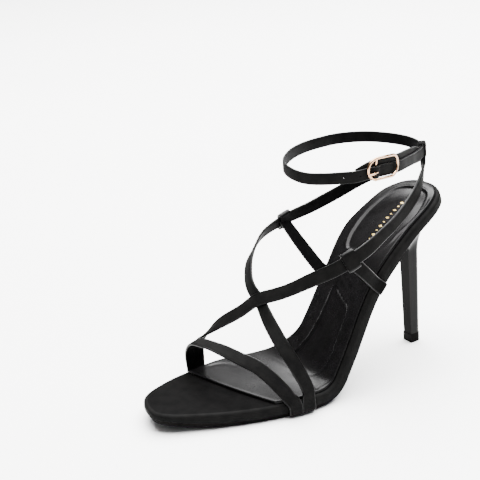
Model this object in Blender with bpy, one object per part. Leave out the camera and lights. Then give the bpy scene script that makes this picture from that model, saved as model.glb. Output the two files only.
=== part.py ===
"""Strappy high-heeled sandal for the left foot, as separate solids, in metres.

Z is up, the toe points to -Y and the lateral side is +X. The foot bed is a curve
that carries every layer of the sole, and the straps follow routes given as shares
of the shoe's own sizes. The origin is at the middle of the bottom of the whole shoe.
"""
import math

import bmesh
import bpy
import numpy as np
from mathutils import Vector

# Foot bed
INSOLE_LENGTH = 0.243
HEEL_RISE = 0.0942
TOE_SPRING = math.radians(5.5)
BALL_WIDTH = 0.0745
WAIST_WIDTH = 0.0448
SEAT_WIDTH = 0.0514
WAIST_TWIST = math.radians(4.0)
TWIST_PIVOT = 0.0130

# Layers of the sole
BOARD_THICKNESS = 0.0062
BOARD_RIM_RADIUS = 0.0022
BOARD_EDGE_RADIUS = 0.0008
OUTSOLE_THICKNESS = 0.0026
TOE_THINNING = 0.0022
TOE_THIN_SHARE = 0.13
OUTSOLE_INSET = 0.0018
OUTSOLE_EDGE_RADIUS = 0.0004
OUTSOLE_RIM_RADIUS = 0.0002
SOCK_THICKNESS = 0.0014
SOCK_CROWN = 0.0010
CROWN_FADE_WIDTH = 0.030
SOCK_INSET = 0.0028
SOCK_EDGE_RADIUS = 0.0008
SOCK_FOOT_RADIUS = 0.0002
SOCK_FRONT_LATERAL = 0.060
SOCK_FRONT_MEDIAL = 0.040
SOCK_FRONT_BULGE = 0.0015
FIT_GAP = 0.0003

# Heel
HEEL_SEAT_LENGTH = 0.050
HEEL_SEAT_INSET = 0.0010
HEEL_TIP_WIDTH = 0.0074
HEEL_TIP_DEPTH = 0.0076
HEEL_TIP_SETBACK = 0.0170
HEEL_TIP_OUTWARD = 0.0010
HEEL_ROOT_WIDTH = 0.0092
HEEL_ROOT_DEPTH = 0.0092
HEEL_ROOT_FORWARD = 0.0008
HEEL_BACK_RADIUS = 0.0030
FRONT_FLARE = 0.0130
BACK_FLARE = 0.0360
TOP_LIFT_HEIGHT = 0.0055
TOP_LIFT_STEP = 0.0003

# Straps of the upper
STRAP_WIDTH = 0.0083
STRAP_THICKNESS = 0.0014
STRAP_BEVEL = 0.0004
TAB_WIDTH = 0.0080
TAB_FOLD = 0.0011
TAB_BOW = 0.0012
WRAP_RISE = 0.0004
WRAP_CLEAR = 0.0008
TOE_STRAP_LIE = 0.0004
LOOP_LENGTH = 0.0070
LOOP_WALL = 0.0009

# Ankle strap and buckle
ANKLE_ABOVE_SEAT = 0.0255
ANKLE_WIDTH = 0.0730
ANKLE_STRAP_WIDTH = 0.0070
ANKLE_STRAP_THICKNESS = 0.0011
ANKLE_STRAP_BEVEL = 0.0003
FIXED_END_AHEAD = 0.0170
FIXED_LAYER_LIFT = 0.0037
FREE_EASE = 0.0200
FREE_EASE_GAP = 0.0010
BUCKLE_LENGTH = 0.0250
BUCKLE_HEIGHT = 0.0146
BUCKLE_RAISE = 0.00165
BUCKLE_CORNER = 0.0050
BUCKLE_WIRE = 0.0018
PIVOT_BAR_AHEAD = 0.0064
PIVOT_BAR_TURN = 0.0005
HUMP_HALF = 0.0038
PIVOT_BAR_WIRE = 0.0012
PRONG_WIRE = 0.0013
PRONG_OVERHANG = 0.0012
SLOT_AHEAD = 0.0036
SLOT_BEHIND = 0.0026
STRAP_END_PAST_LOOP = 0.0030

# Share of the length, share of the steepest slope
BED_SLOPES = (
    (0.29, 0.00),
    (0.35, 0.07),
    (0.45, 0.95),
    (0.55, 1.00),
    (0.65, 0.92),
    (0.75, 0.65),
    (0.87, 0.50),
    (1.00, 0.27),
)
SPRING_END = 0.24
FLAT_AT = 0.265

# Share of the length, share of the waist's twist, which lowers the lateral side
BED_TWIST = (
    (0.36, 0.00),
    (0.44, 1.00),
    (0.66, 1.00),
    (0.84, 0.00),
)

# Share of the length, lateral share, medial share, width that they are shares of
OUTLINE = (
    (0.00, 0.000, 0.000, BALL_WIDTH),
    (0.03, 0.150, 0.283, BALL_WIDTH),
    (0.08, 0.240, 0.390, BALL_WIDTH),
    (0.16, 0.362, 0.480, BALL_WIDTH),
    (0.26, 0.477, 0.520, BALL_WIDTH),
    (0.36, 0.545, 0.437, BALL_WIDTH),
    (0.50, 0.825, 0.288, WAIST_WIDTH),
    (0.65, 0.708, 0.350, WAIST_WIDTH),
    (0.80, 0.568, 0.480, SEAT_WIDTH),
    (0.90, 0.512, 0.470, SEAT_WIDTH),
    (0.96, 0.392, 0.362, SEAT_WIDTH),
    (1.00, 0.000, 0.000, SEAT_WIDTH),
)

# Where straps leave the sole: share of the length, side (+1 lateral, -1 medial)
TOE_STRAP_MEDIAL = (0.203, -1)
TOE_STRAP_LATERAL = (0.302, 1)
MEDIAL_STRAP_BASE = (0.222, -1)
LATERAL_STRAP_BASE = (0.334, 1)
LATERAL_TAB_BASE = (0.680, 1)
MEDIAL_TAB_BASE = (0.643, -1)

# Routes: share of the ball width, of the bed's run and of the ankle strap's height
TOE_STRAP_ROUTE = (
    (-0.505, 0.234, 0.170),
    (-0.405, 0.231, 0.236),
    (-0.255, 0.241, 0.251),
    (-0.107, 0.258, 0.247),
    (0.107, 0.279, 0.234),
    (0.242, 0.301, 0.213),
    (0.349, 0.317, 0.178),
    (0.456, 0.334, 0.127),
    (0.530, 0.348, 0.080),
)
MEDIAL_STRAP_ROUTE = (
    (-0.525, 0.262, 0.140),
    (-0.497, 0.260, 0.198),
    (-0.430, 0.277, 0.251),
    (-0.320, 0.304, 0.315),
    (-0.134, 0.338, 0.396),
    (0.000, 0.369, 0.463),
    (0.188, 0.418, 0.518),
    (0.362, 0.479, 0.586),
    (0.470, 0.522, 0.629),
    (0.523, 0.564, 0.664),
    (0.523, 0.617, 0.691),
    (0.483, 0.675, 0.718),
    (0.383, 0.780, 0.766),
    (0.242, 0.880, 0.824),
    (0.165, 0.921, 0.865),
    (0.112, 0.945, 0.903),
    (0.068, 0.957, 0.955),
)
LATERAL_STRAP_ROUTE = (
    (0.535, 0.398, 0.110),
    (0.483, 0.374, 0.232),
    (0.385, 0.358, 0.317),
    (0.220, 0.360, 0.386),
    (0.013, 0.371, 0.456),
    (-0.100, 0.372, 0.500),
    (-0.188, 0.384, 0.535),
    (-0.285, 0.410, 0.583),
    (-0.349, 0.442, 0.620),
    (-0.410, 0.490, 0.668),
    (-0.443, 0.573, 0.703),
    (-0.450, 0.675, 0.728),
    (-0.416, 0.768, 0.772),
    (-0.330, 0.834, 0.826),
    (-0.188, 0.909, 0.889),
    (-0.040, 0.950, 0.932),
    (0.012, 0.957, 0.955),
)
LATERAL_LOOP_ROW = 9
MEDIAL_LOOP_ROW = 10

# Ankle strap from its back, along the lateral side: shares of the ankle strap's
# width, of the bed's run and of its height
ANKLE_ROUTE = (
    (0.055, 0.956, 0.984),
    (0.219, 0.879, 0.993),
    (0.342, 0.814, 1.009),
    (0.452, 0.748, 1.024),
    (0.519, 0.681, 1.041),
    (0.534, 0.634, 1.046),
    (0.524, 0.596, 1.044),
    (0.488, 0.555, 1.046),
    (0.425, 0.518, 1.045),
    (0.288, 0.486, 1.042),
    (0.137, 0.474, 1.051),
    (0.000, 0.485, 1.062),
    (-0.123, 0.527, 1.071),
    (-0.274, 0.605, 1.065),
    (-0.397, 0.706, 1.049),
    (-0.460, 0.800, 1.032),
    (-0.411, 0.893, 1.014),
    (-0.225, 0.958, 0.998),
    (-0.082, 0.974, 0.987),
)
BUCKLE_ROW = 4

# Share of the way from the buckle to the back loop, share of the fixed layer's lift
FIXED_LAYER_RISE = (
    (-0.28, 0.00),
    (-0.19, 0.55),
    (-0.08, 0.95),
    (0.00, 1.00),
    (0.45, 0.95),
    (0.68, 0.85),
    (0.90, 0.00),
    (1.20, 0.00),
)

# How far ahead of the pivot bar the prong is, and how far below its resting height
PRONG_CLIMB = (
    (0.0012, 0.0011),
    (0.0026, 0.0004),
)
PRONG_CURL = (5, 35, 65, 95)
PRONG_TIP_DROP = 0.0002

# Forward lean of the crossing straps: share of the ball width, lean, and then
# share of the ankle strap's height, share of that lean
LEAN_ACROSS = (
    (-0.52, 0.0),
    (-0.45, 0.8),
    (-0.32, 1.7),
    (-0.10, 1.7),
    (0.10, 0.8),
    (0.30, 0.0),
)
LEAN_HEIGHT = (
    (0.20, 0.0),
    (0.27, 0.6),
    (0.33, 1.0),
    (0.46, 1.0),
    (0.58, 0.0),
)

# Upward lean of the same straps at the back, at shares of the ankle strap's height
REAR_LEAN = (
    (0.72, 0.00),
    (0.83, 0.38),
    (0.96, 0.38),
)

# Middle of the foot, which straps face away from: shares of the bed's run and of
# the ankle strap's height
FOOT_AXIS = (
    (0.20, 0.06),
    (0.39, 0.19),
    (0.58, 0.42),
    (0.72, 0.80),
    (0.72, 1.30),
)

BED_STEPS = 240
STRAP_STEP = 0.0038
RING_STEP = 0.0046
BUCKLE_STEP = 0.0013
FOREFOOT_HEIGHT = BOARD_THICKNESS + FIT_GAP + OUTSOLE_THICKNESS
ANKLE_HEIGHT = FOREFOOT_HEIGHT + HEEL_RISE + ANKLE_ABOVE_SEAT


def monotone(rows, at):
    """Smooth curve through (x, y) rows that never overshoots them."""
    x = np.array([row[0] for row in rows])
    y = np.array([row[1] for row in rows])
    run = np.diff(x)
    rise = np.diff(y) / run
    tangent = np.zeros(len(x))
    tangent[0], tangent[-1] = rise[0], rise[-1]
    for i in range(1, len(x) - 1):
        if rise[i - 1] * rise[i] > 0:
            w1 = 2 * run[i] + run[i - 1]
            w2 = run[i] + 2 * run[i - 1]
            tangent[i] = (w1 + w2) / (w1 / rise[i - 1] + w2 / rise[i])
    at = np.clip(np.asarray(at, float), x[0], x[-1])
    k = np.clip(np.searchsorted(x, at, side="right") - 1, 0, len(x) - 2)
    u = (at - x[k]) / run[k]
    return ((1 + 2 * u) * (1 - u) ** 2 * y[k] + u * (1 - u) ** 2 * run[k] * tangent[k]
            + u * u * (3 - 2 * u) * y[k + 1] + u * u * (u - 1) * run[k] * tangent[k + 1])


def bed_curve():
    """Arc length, run, height and slope of the foot bed's centre line."""
    share = np.linspace(0, 1, BED_STEPS + 1)
    step = INSOLE_LENGTH / BED_STEPS
    shape = monotone(BED_SLOPES, share)
    spring = -TOE_SPRING * np.clip(1 - share / SPRING_END, 0, 1) ** 0.7

    def lay(steepest):
        slope = shape * steepest + spring
        middle = 0.5 * (slope[1:] + slope[:-1])
        run = np.concatenate([[0], np.cumsum(np.cos(middle) * step)])
        rise = np.concatenate([[0], np.cumsum(np.sin(middle) * step)])
        rise += FOREFOOT_HEIGHT - rise[int(FLAT_AT * BED_STEPS)]
        return run, rise, slope

    low, high = 0.0, math.radians(85)
    for _ in range(50):
        steepest = 0.5 * (low + high)
        if lay(steepest)[1][-1] < FOREFOOT_HEIGHT + HEEL_RISE:
            low = steepest
        else:
            high = steepest
    return (share * INSOLE_LENGTH,) + lay(high)


BED_ARC, BED_Y, BED_Z, BED_SLOPE = bed_curve()
BED_RUN = BED_Y[-1]
BED_ANGLE = np.arccos(1 - 2 * BED_ARC / INSOLE_LENGTH)
BED_TURNING = np.concatenate([[0], np.cumsum(np.abs(np.diff(BED_SLOPE)))])
ROW_MEASURE = BED_ANGLE + BED_TURNING


def thinning(along, lift):
    """How far a place under the bed moves up towards it near the toe's tip."""
    near = np.clip(1 - along / INSOLE_LENGTH / TOE_THIN_SHARE, 0, 1)
    deep = np.clip(-lift / BOARD_THICKNESS, 0, 1)
    return TOE_THINNING * near ** 2 * (3 - 2 * near) * deep ** 2 * (3 - 2 * deep)


def on_bed(along, across, lift=0.0):
    """Point at an arc length and across the foot, lifted square to the bed."""
    lift = lift + thinning(along, lift)
    slope = np.interp(along, BED_ARC, BED_SLOPE)
    y = np.interp(along, BED_ARC, BED_Y)
    z = np.interp(along, BED_ARC, BED_Z)
    twist = WAIST_TWIST * float(monotone(BED_TWIST, along / INSOLE_LENGTH))
    z -= (across + TWIST_PIVOT) * math.tan(twist)
    return np.array([across, y - lift * math.sin(slope), z + lift * math.cos(slope)])


def turn(share):
    """Angle that runs evenly round the ends of the outline."""
    return np.arccos(1 - 2 * np.clip(share, 0, 1))


LATERAL_SIDE = [(float(turn(row[0])), row[1] * row[3]) for row in OUTLINE]
MEDIAL_SIDE = [(float(turn(row[0])), row[2] * row[3]) for row in OUTLINE]


def edge(angle, side, inset=0.0):
    """Flat outline point (along, across), moved in square to the outline."""
    rows = LATERAL_SIDE if side > 0 else MEDIAL_SIDE

    def outline(a):
        a = np.clip(a, 0, math.pi)
        return np.array([INSOLE_LENGTH * (1 - math.cos(a)) / 2, side * float(monotone(rows, a))])

    point = outline(angle)
    ahead = outline(angle + 0.02) - outline(angle - 0.02)
    ahead /= np.linalg.norm(ahead)
    inward = np.array([ahead[1], -ahead[0]]) * side
    if angle <= 1e-6:
        inward = np.array([1.0, 0.0])
    elif angle >= math.pi - 1e-6:
        inward = np.array([-1.0, 0.0])
    return point + inward * inset


def clean_object(name, points, faces, material, smooth=35):
    """Object from points and faces, welded and facing out."""
    mesh = bpy.data.meshes.new(name)
    mesh.from_pydata([tuple(p) for p in points], [], faces)
    bm = bmesh.new()
    bm.from_mesh(mesh)
    bmesh.ops.remove_doubles(bm, verts=bm.verts, dist=1e-6)
    bmesh.ops.dissolve_degenerate(bm, edges=bm.edges, dist=1e-7)
    bmesh.ops.recalc_face_normals(bm, faces=bm.faces)
    bm.to_mesh(mesh)
    bm.free()
    mesh.shade_smooth()
    mesh.set_sharp_from_angle(angle=math.radians(smooth))
    mesh.materials.append(material)
    obj = bpy.data.objects.new(name, mesh)
    SHOE.objects.link(obj)
    return obj


def stacked(name, grids, material, smooth=35):
    """Body from grids of the same shape: caps on the first and last, walls between."""
    rows, cols = grids[0].shape[0], grids[0].shape[1]
    rim = [(i, 0) for i in range(rows)] + [(rows - 1, k) for k in range(1, cols)]
    rim += [(i, cols - 1) for i in range(rows - 2, -1, -1)] + [(0, k) for k in range(cols - 2, 0, -1)]
    points, faces = [], []
    for grid in (grids[0], grids[-1]):
        base = len(points)
        points.extend(grid.reshape(-1, 3))
        for i in range(rows - 1):
            for k in range(cols - 1):
                a = base + i * cols + k
                faces.append((a, a + 1, a + cols + 1, a + cols))
    for upper, lower in zip(grids, grids[1:]):
        base = len(points)
        points.extend(upper[i, k] for i, k in rim)
        points.extend(lower[i, k] for i, k in rim)
        count = len(rim)
        for j in range(count):
            j2 = (j + 1) % count
            faces.append((base + j, base + j2, base + count + j2, base + count + j))
    return clean_object(name, points, faces, material, smooth)


def deck(start, end, inset, lift, rows, cols, bulge=0.0, crown=0.0):
    """Grid on the bed between arc lengths (lateral, medial), inset from the outline."""
    grid = np.zeros((rows + 1, cols + 1, 3))
    for i in range(rows + 1):
        sides = []
        for side, first, last in ((1, start[0], end[0]), (-1, start[1], end[1])):
            first = first + inset if first > 0 else 0.0
            last = last - inset if last < INSOLE_LENGTH else INSOLE_LENGTH
            ends = np.interp([first, last], BED_ARC, ROW_MEASURE)
            angle = np.interp(ends[0] + (ends[1] - ends[0]) * i / rows, ROW_MEASURE, BED_ANGLE)
            sides.append(edge(angle, side, inset))
        for k in range(cols + 1):
            v = k / cols
            hump = 1 - (2 * v - 1) ** 2
            flat = sides[0] * (1 - v) + sides[1] * v
            along = flat[0] - bulge * hump * (1 - i / rows) ** 3
            fade = min(1.0, 5 * i / rows, (sides[0][1] - sides[1][1]) / CROWN_FADE_WIDTH)
            grid[i, k] = on_bed(along, flat[1], lift + crown * hump * fade)
    return grid


def rim_rows(radius, lift):
    """Insets and lifts round a top rim of the given radius."""
    return [(radius * (1 - math.sin(a)), lift - radius * (1 - math.cos(a)))
            for a in np.linspace(0, math.pi / 2, 4)]


def sole_layer(name, start, end, inset, top, thickness, rim, foot, rows, cols, material,
               bulge=0.0, crown=0.0):
    """Layer of the sole with a rounded top rim and a small lower edge."""
    levels = rim_rows(rim, top)
    levels += [(0.0, top - thickness + foot), (foot, top - thickness)]
    grids = []
    for n, (step, lift) in enumerate(levels):
        lid = crown if n == 0 else 0.0
        grids.append(deck(start, end, inset + step, lift, rows, cols, bulge, lid))
    return stacked(name, grids, material)


def heel_section(setback, outward, width, depth, u):
    """Lateral and medial points of the column's section, from its breast to its back."""
    half = width / 2
    straight = depth - HEEL_BACK_RADIUS
    arc = 0.5 * math.pi * HEEL_BACK_RADIUS
    walk = u * (straight + arc + (half - HEEL_BACK_RADIUS))
    if walk < straight:
        across, back = half, walk
    elif walk < straight + arc:
        a = (walk - straight) / HEEL_BACK_RADIUS
        across = half - HEEL_BACK_RADIUS * (1 - math.cos(a))
        back = straight + HEEL_BACK_RADIUS * math.sin(a)
    else:
        across, back = half - HEEL_BACK_RADIUS - (walk - straight - arc), depth
    y = BED_RUN - setback - depth / 2 + back
    return np.array([outward + across, y]), np.array([outward - across, y])


def heel_column(share, rows, cols):
    """Flat grid of the column's section at a share of its height, tip to root."""
    width = HEEL_TIP_WIDTH + (HEEL_ROOT_WIDTH - HEEL_TIP_WIDTH) * share
    depth = HEEL_TIP_DEPTH + (HEEL_ROOT_DEPTH - HEEL_TIP_DEPTH) * share
    setback = HEEL_TIP_SETBACK + HEEL_ROOT_FORWARD * share
    grid = np.zeros((rows + 1, cols + 1, 2))
    for i in range(rows + 1):
        lateral, medial = heel_section(setback, HEEL_TIP_OUTWARD, width, depth, i / rows)
        for k in range(cols + 1):
            grid[i, k] = lateral + (medial - lateral) * k / cols
    return grid


def make_heel(material):
    """Column that flares into the seat, which follows the board's underside."""
    rows, cols = 14, 4
    breast = INSOLE_LENGTH - HEEL_SEAT_LENGTH
    seat = deck((breast, breast), (INSOLE_LENGTH, INSOLE_LENGTH), HEEL_SEAT_INSET,
                -(BOARD_THICKNESS + FIT_GAP), rows, cols)
    tip = TOP_LIFT_HEIGHT + FIT_GAP
    grids = []
    for share in (1, 0.985, 0.96, 0.93, 0.89, 0.84, 0.78, 0.71, 0.62, 0.48, 0.25, 0):
        column = heel_column(share, rows, cols)
        grid = np.zeros_like(seat)
        for i in range(rows + 1):
            reach = FRONT_FLARE + (BACK_FLARE - FRONT_FLARE) * math.sin(0.5 * math.pi * i / rows) ** 0.7
            for k in range(cols + 1):
                top = seat[i, k]
                z = tip + (top[2] - tip) * share
                flare = max(0.0, 1 - (top[2] - z) / reach) ** 2
                grid[i, k, :2] = column[i, k] + (top[:2] - column[i, k]) * flare
                grid[i, k, 2] = z
        grids.append(grid)
    return stacked("heel", grids, material)


def make_top_lift(material):
    """Small block under the heel's tip, a little larger than it all round."""
    rows, cols = 14, 4
    flat = heel_column(0.0, rows, cols)
    centre = np.array([HEEL_TIP_OUTWARD, BED_RUN - HEEL_TIP_SETBACK])
    grow = 1 + 2 * TOP_LIFT_STEP / HEEL_TIP_WIDTH
    grids = []
    for height in (TOP_LIFT_HEIGHT, 0.0):
        grid = np.zeros((rows + 1, cols + 1, 3))
        grid[..., :2] = centre + (flat - centre) * grow
        grid[..., 2] = height
        grids.append(grid)
    return stacked("top_lift", grids, material)


def spline(points, closed=False, per_span=6):
    """Centripetal curve through points, as many points."""
    pts = [np.asarray(p, float) for p in points]
    if closed:
        pts = [pts[-1]] + pts + [pts[0], pts[1]]
    else:
        pts = [2 * pts[0] - pts[1]] + pts + [2 * pts[-1] - pts[-2]]
    out = []
    for p0, p1, p2, p3 in zip(pts, pts[1:], pts[2:], pts[3:]):
        t0 = 0.0
        t1 = t0 + math.sqrt(np.linalg.norm(p1 - p0))
        t2 = t1 + math.sqrt(np.linalg.norm(p2 - p1))
        t3 = t2 + math.sqrt(np.linalg.norm(p3 - p2))
        for t in np.linspace(t1, t2, per_span, endpoint=False):
            a1 = (t1 - t) / (t1 - t0) * p0 + (t - t0) / (t1 - t0) * p1
            a2 = (t2 - t) / (t2 - t1) * p1 + (t - t1) / (t2 - t1) * p2
            a3 = (t3 - t) / (t3 - t2) * p2 + (t - t2) / (t3 - t2) * p3
            b1 = (t2 - t) / (t2 - t0) * a1 + (t - t0) / (t2 - t0) * a2
            b2 = (t3 - t) / (t3 - t1) * a2 + (t - t1) / (t3 - t1) * a3
            out.append((t2 - t) / (t2 - t1) * b1 + (t - t1) / (t2 - t1) * b2)
    if not closed:
        out.append(pts[-2])
    return np.array(out)


def respace(points, step):
    """The same line with even steps of about the given length."""
    gaps = np.linalg.norm(np.diff(points, axis=0), axis=1)
    arc = np.concatenate([[0], np.cumsum(gaps)])
    at = np.linspace(0, arc[-1], max(2, int(round(arc[-1] / step)) + 1))
    return np.stack([np.interp(at, arc, points[:, c]) for c in range(3)], -1)


def smooth_line(points, rounds):
    """Points eased towards their neighbours, ends kept."""
    out = np.array(points, float)
    for _ in range(rounds):
        out[1:-1] = 0.5 * out[1:-1] + 0.25 * (out[:-2] + out[2:])
    return out


def outward(point, lean=0.0):
    """Direction from the middle of the foot to a point, leant forward over the instep
    and up at the back."""
    axis = [np.array([0.0, y * BED_RUN, z * ANKLE_HEIGHT]) for y, z in FOOT_AXIS]
    best, found = None, None
    for a, b in zip(axis, axis[1:]):
        t = np.clip(np.dot(point - a, b - a) / np.dot(b - a, b - a), 0, 1)
        foot = a + t * (b - a)
        gap = np.linalg.norm(point - foot)
        if best is None or gap < best:
            best, found = gap, foot
    height = point[2] / ANKLE_HEIGHT
    forward = float(monotone(LEAN_ACROSS, point[0] / BALL_WIDTH) * monotone(LEAN_HEIGHT, height))
    up = float(monotone(REAR_LEAN, height))
    away = (point - found) / best + lean * np.array([0.0, -forward, up])
    return away / np.linalg.norm(away)


def tangents(points):
    """Unit directions along a line."""
    ahead = np.gradient(points, axis=0)
    return ahead / np.linalg.norm(ahead, axis=1, keepdims=True)


def square_to(normals, along):
    """Normals made square to the line's direction."""
    out = normals - (normals * along).sum(1, keepdims=True) * along
    return out / np.linalg.norm(out, axis=1, keepdims=True)


def strip(name, points, normals, section, material, smooth=50):
    """Band along a line: its section is a list of (across, outward) corners."""
    along = tangents(points)
    normals = square_to(normals, along)
    across = np.cross(along, normals)
    count = len(section)
    verts = []
    for p, n, b in zip(points, normals, across):
        verts.extend(p + b * s + n * o for s, o in section)
    faces = [tuple(range(count)), tuple(range(len(verts) - count, len(verts)))]
    for i in range(len(points) - 1):
        for j in range(count):
            j2 = (j + 1) % count
            base = i * count
            faces.append((base + j, base + j2, base + count + j2, base + count + j))
    return clean_object(name, verts, faces, material, smooth)


def band(width, inner, outer, bevel):
    """Section of a strap with its four edges bevelled."""
    half = width / 2
    return [(-half + bevel, inner), (half - bevel, inner), (half, inner + bevel), (half, outer - bevel),
            (half - bevel, outer), (-half + bevel, outer), (-half, outer - bevel), (-half, inner + bevel)]


STRAP_SECTION = band(STRAP_WIDTH, -STRAP_THICKNESS / 2, STRAP_THICKNESS / 2, STRAP_BEVEL)
TAB_SECTION = band(TAB_WIDTH, -STRAP_THICKNESS / 2, STRAP_THICKNESS / 2, STRAP_BEVEL)


def wrap(base, lie=0.0):
    """Points and normals of a strap's end, from under the board up its side.

    A strap that lies over its neighbour there is further out by lie."""
    share, side = base
    angle = float(turn(share))
    clear = FIT_GAP + STRAP_THICKNESS / 2 + lie
    bend = BOARD_EDGE_RADIUS + clear
    reach = OUTSOLE_INSET - WRAP_CLEAR

    def place(inset, lift):
        flat = edge(angle, side, inset)
        return on_bed(flat[0], flat[1], lift)

    points = [place(reach, -(BOARD_THICKNESS + clear))]
    for a in np.linspace(0, math.pi / 2, 4):
        inset = BOARD_EDGE_RADIUS - bend * math.sin(a)
        lift = -BOARD_THICKNESS + BOARD_EDGE_RADIUS - bend * math.cos(a)
        points.append(place(inset, lift))
    points.append(place(-clear, -BOARD_RIM_RADIUS))
    points.append(place(-clear, WRAP_RISE))
    slope = float(np.interp(share * INSOLE_LENGTH, BED_ARC, BED_SLOPE))
    down = np.array([0.0, math.sin(slope), -math.cos(slope)])
    out_flat = edge(angle, side, -1e-3) - edge(angle, side, 0.0)
    out = on_bed(share * INSOLE_LENGTH + out_flat[0], out_flat[1]) - on_bed(share * INSOLE_LENGTH, 0.0)
    out /= np.linalg.norm(out)
    normals = [down] + [down * math.cos(a) + out * math.sin(a) for a in np.linspace(0, math.pi / 2, 4)]
    normals += [out, out]
    return points, normals


def sized(route, width):
    """Route rows as points."""
    return [np.array([x * width, y * BED_RUN, z * ANKLE_HEIGHT]) for x, y, z in route]


def strap_line(base, free, far_base=None, lie=0.0, lean=0.0):
    """Points and normals of a strap: its wrapped end, its free run and a far wrapped end."""
    start, start_normals = wrap(base, lie)
    guide = start[-2:] + list(free)
    if far_base:
        end, end_normals = wrap(far_base, lie)
        guide += [end[-1], end[-2]]
    run = respace(spline(guide), STRAP_STEP)
    normals = np.array([outward(p, lean) for p in run])
    ease = 4
    for i in range(ease):
        w = i / ease
        normals[i] = start_normals[-1] * (1 - w) + normals[i] * w
        if far_base:
            normals[-1 - i] = end_normals[-1] * (1 - w) + normals[-1 - i] * w
    normals = smooth_line(normals, 3)
    points = np.concatenate([np.array(start[:-2]), run])
    normals = np.concatenate([np.array(start_normals[:-2]), normals])
    if far_base:
        points = np.concatenate([points, np.array(end[:-2])[::-1]])
        normals = np.concatenate([normals, np.array(end_normals[:-2])[::-1]])
    return points, normals


def stretch(points, normals, centre, length, steps=4):
    """The part of a line of the given length whose middle is nearest to a point."""
    gaps = np.linalg.norm(np.diff(points, axis=0), axis=1)
    arc = np.concatenate([[0], np.cumsum(gaps)])
    middle = arc[int(np.argmin(np.linalg.norm(points - centre, axis=1)))]
    at = np.linspace(middle - length / 2, middle + length / 2, steps + 1)
    cut = [np.stack([np.interp(at, arc, line[:, c]) for c in range(3)], -1) for line in (points, normals)]
    return cut[0], cut[1]


class AnkleRing:
    """Closed line of the ankle strap, measured along it from the buckle's middle."""

    def __init__(self):
        rows = sized(ANKLE_ROUTE, ANKLE_WIDTH)
        rows = rows[BUCKLE_ROW::-1] + rows[:BUCKLE_ROW:-1]
        dense = spline(rows, closed=True, per_span=12)
        self.points = np.concatenate([dense, dense[:1]])
        gaps = np.linalg.norm(np.diff(self.points, axis=0), axis=1)
        self.arc = np.concatenate([[0], np.cumsum(gaps)])
        self.length = self.arc[-1]
        back = rows[BUCKLE_ROW]
        self.loop_at = self.arc[int(np.argmin(np.linalg.norm(self.points - back, axis=1)))]

    def point(self, at):
        at = np.mod(at, self.length)
        return np.array([np.interp(at, self.arc, self.points[:, c]) for c in range(3)])

    def frame(self, at, reach=0.004):
        """Point, outward normal and direction at a distance along the ring."""
        along = self.point(at + reach) - self.point(at - reach)
        along /= np.linalg.norm(along)
        up = np.array([0.0, 0.0, 1.0])
        normal = np.cross(along, up)
        normal /= np.linalg.norm(normal)
        return self.point(at), normal, along

    def place(self, at, offset, across=0.0):
        """Point beside the ring: outward by offset and down by across."""
        p, normal, along = self.frame(at)
        return p + normal * offset + np.cross(along, normal) * across


def make_tube(name, points, wire, material, cyclic=False):
    """Round wire through points, as a welded mesh object."""
    curve = bpy.data.curves.new(name, "CURVE")
    curve.dimensions = "3D"
    curve.bevel_depth = wire / 2
    curve.bevel_resolution = 2
    curve.use_fill_caps = True
    poly = curve.splines.new("POLY")
    poly.points.add(len(points) - 1)
    for item, p in zip(poly.points, points):
        item.co = (p[0], p[1], p[2], 1.0)
    poly.use_cyclic_u = cyclic
    holder = bpy.data.objects.new(name + "_line", curve)
    SHOE.objects.link(holder)
    bpy.context.view_layer.update()
    mesh = bpy.data.meshes.new_from_object(holder.evaluated_get(bpy.context.evaluated_depsgraph_get()))
    place = holder.matrix_world.copy()
    bpy.data.objects.remove(holder)
    bm = bmesh.new()
    bm.from_mesh(mesh)
    bmesh.ops.remove_doubles(bm, verts=bm.verts, dist=1e-6)
    bmesh.ops.recalc_face_normals(bm, faces=bm.faces)
    bm.to_mesh(mesh)
    bm.free()
    mesh.shade_smooth()
    mesh.materials.clear()
    mesh.materials.append(material)
    obj = bpy.data.objects.new(name, mesh)
    obj.matrix_world = place
    SHOE.objects.link(obj)
    return obj


def combine(target, tool, operation):
    """Apply a Boolean of a tool object to the target, and drop the tool."""
    modifier = target.modifiers.new(operation.title(), "BOOLEAN")
    modifier.operation = operation
    modifier.solver = "EXACT"
    modifier.object = tool
    modifier.use_self = operation == "UNION"
    bpy.context.view_layer.update()
    graph = bpy.context.evaluated_depsgraph_get()
    mesh = bpy.data.meshes.new_from_object(target.evaluated_get(graph))
    target.modifiers.clear()
    old = target.data
    target.data = mesh
    bpy.data.meshes.remove(old)
    bpy.data.objects.remove(tool)


def tidy_mesh(obj, smooth=40):
    """Weld what a Boolean left almost doubled, and shade it again."""
    bm = bmesh.new()
    bm.from_mesh(obj.data)
    bmesh.ops.remove_doubles(bm, verts=bm.verts, dist=2e-5)
    bmesh.ops.dissolve_degenerate(bm, edges=bm.edges, dist=1e-5)
    bmesh.ops.triangulate(bm, faces=[f for f in bm.faces if len(f.verts) > 4])
    bm.to_mesh(obj.data)
    bm.free()
    obj.data.shade_smooth()
    obj.data.set_sharp_from_angle(angle=math.radians(smooth))


def ring_block(name, ring, span, offsets, half, material, steps=4):
    """Block along the ankle ring between two distances and two offsets."""
    at = np.linspace(span[0], span[1], steps + 1)
    points = np.array([ring.place(a, 0.0) for a in at])
    normals = np.array([ring.frame(a)[1] for a in at])
    section = [(-half, offsets[0]), (half, offsets[0]), (half, offsets[1]), (-half, offsets[1])]
    return strip(name, points, normals, section, material)


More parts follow.
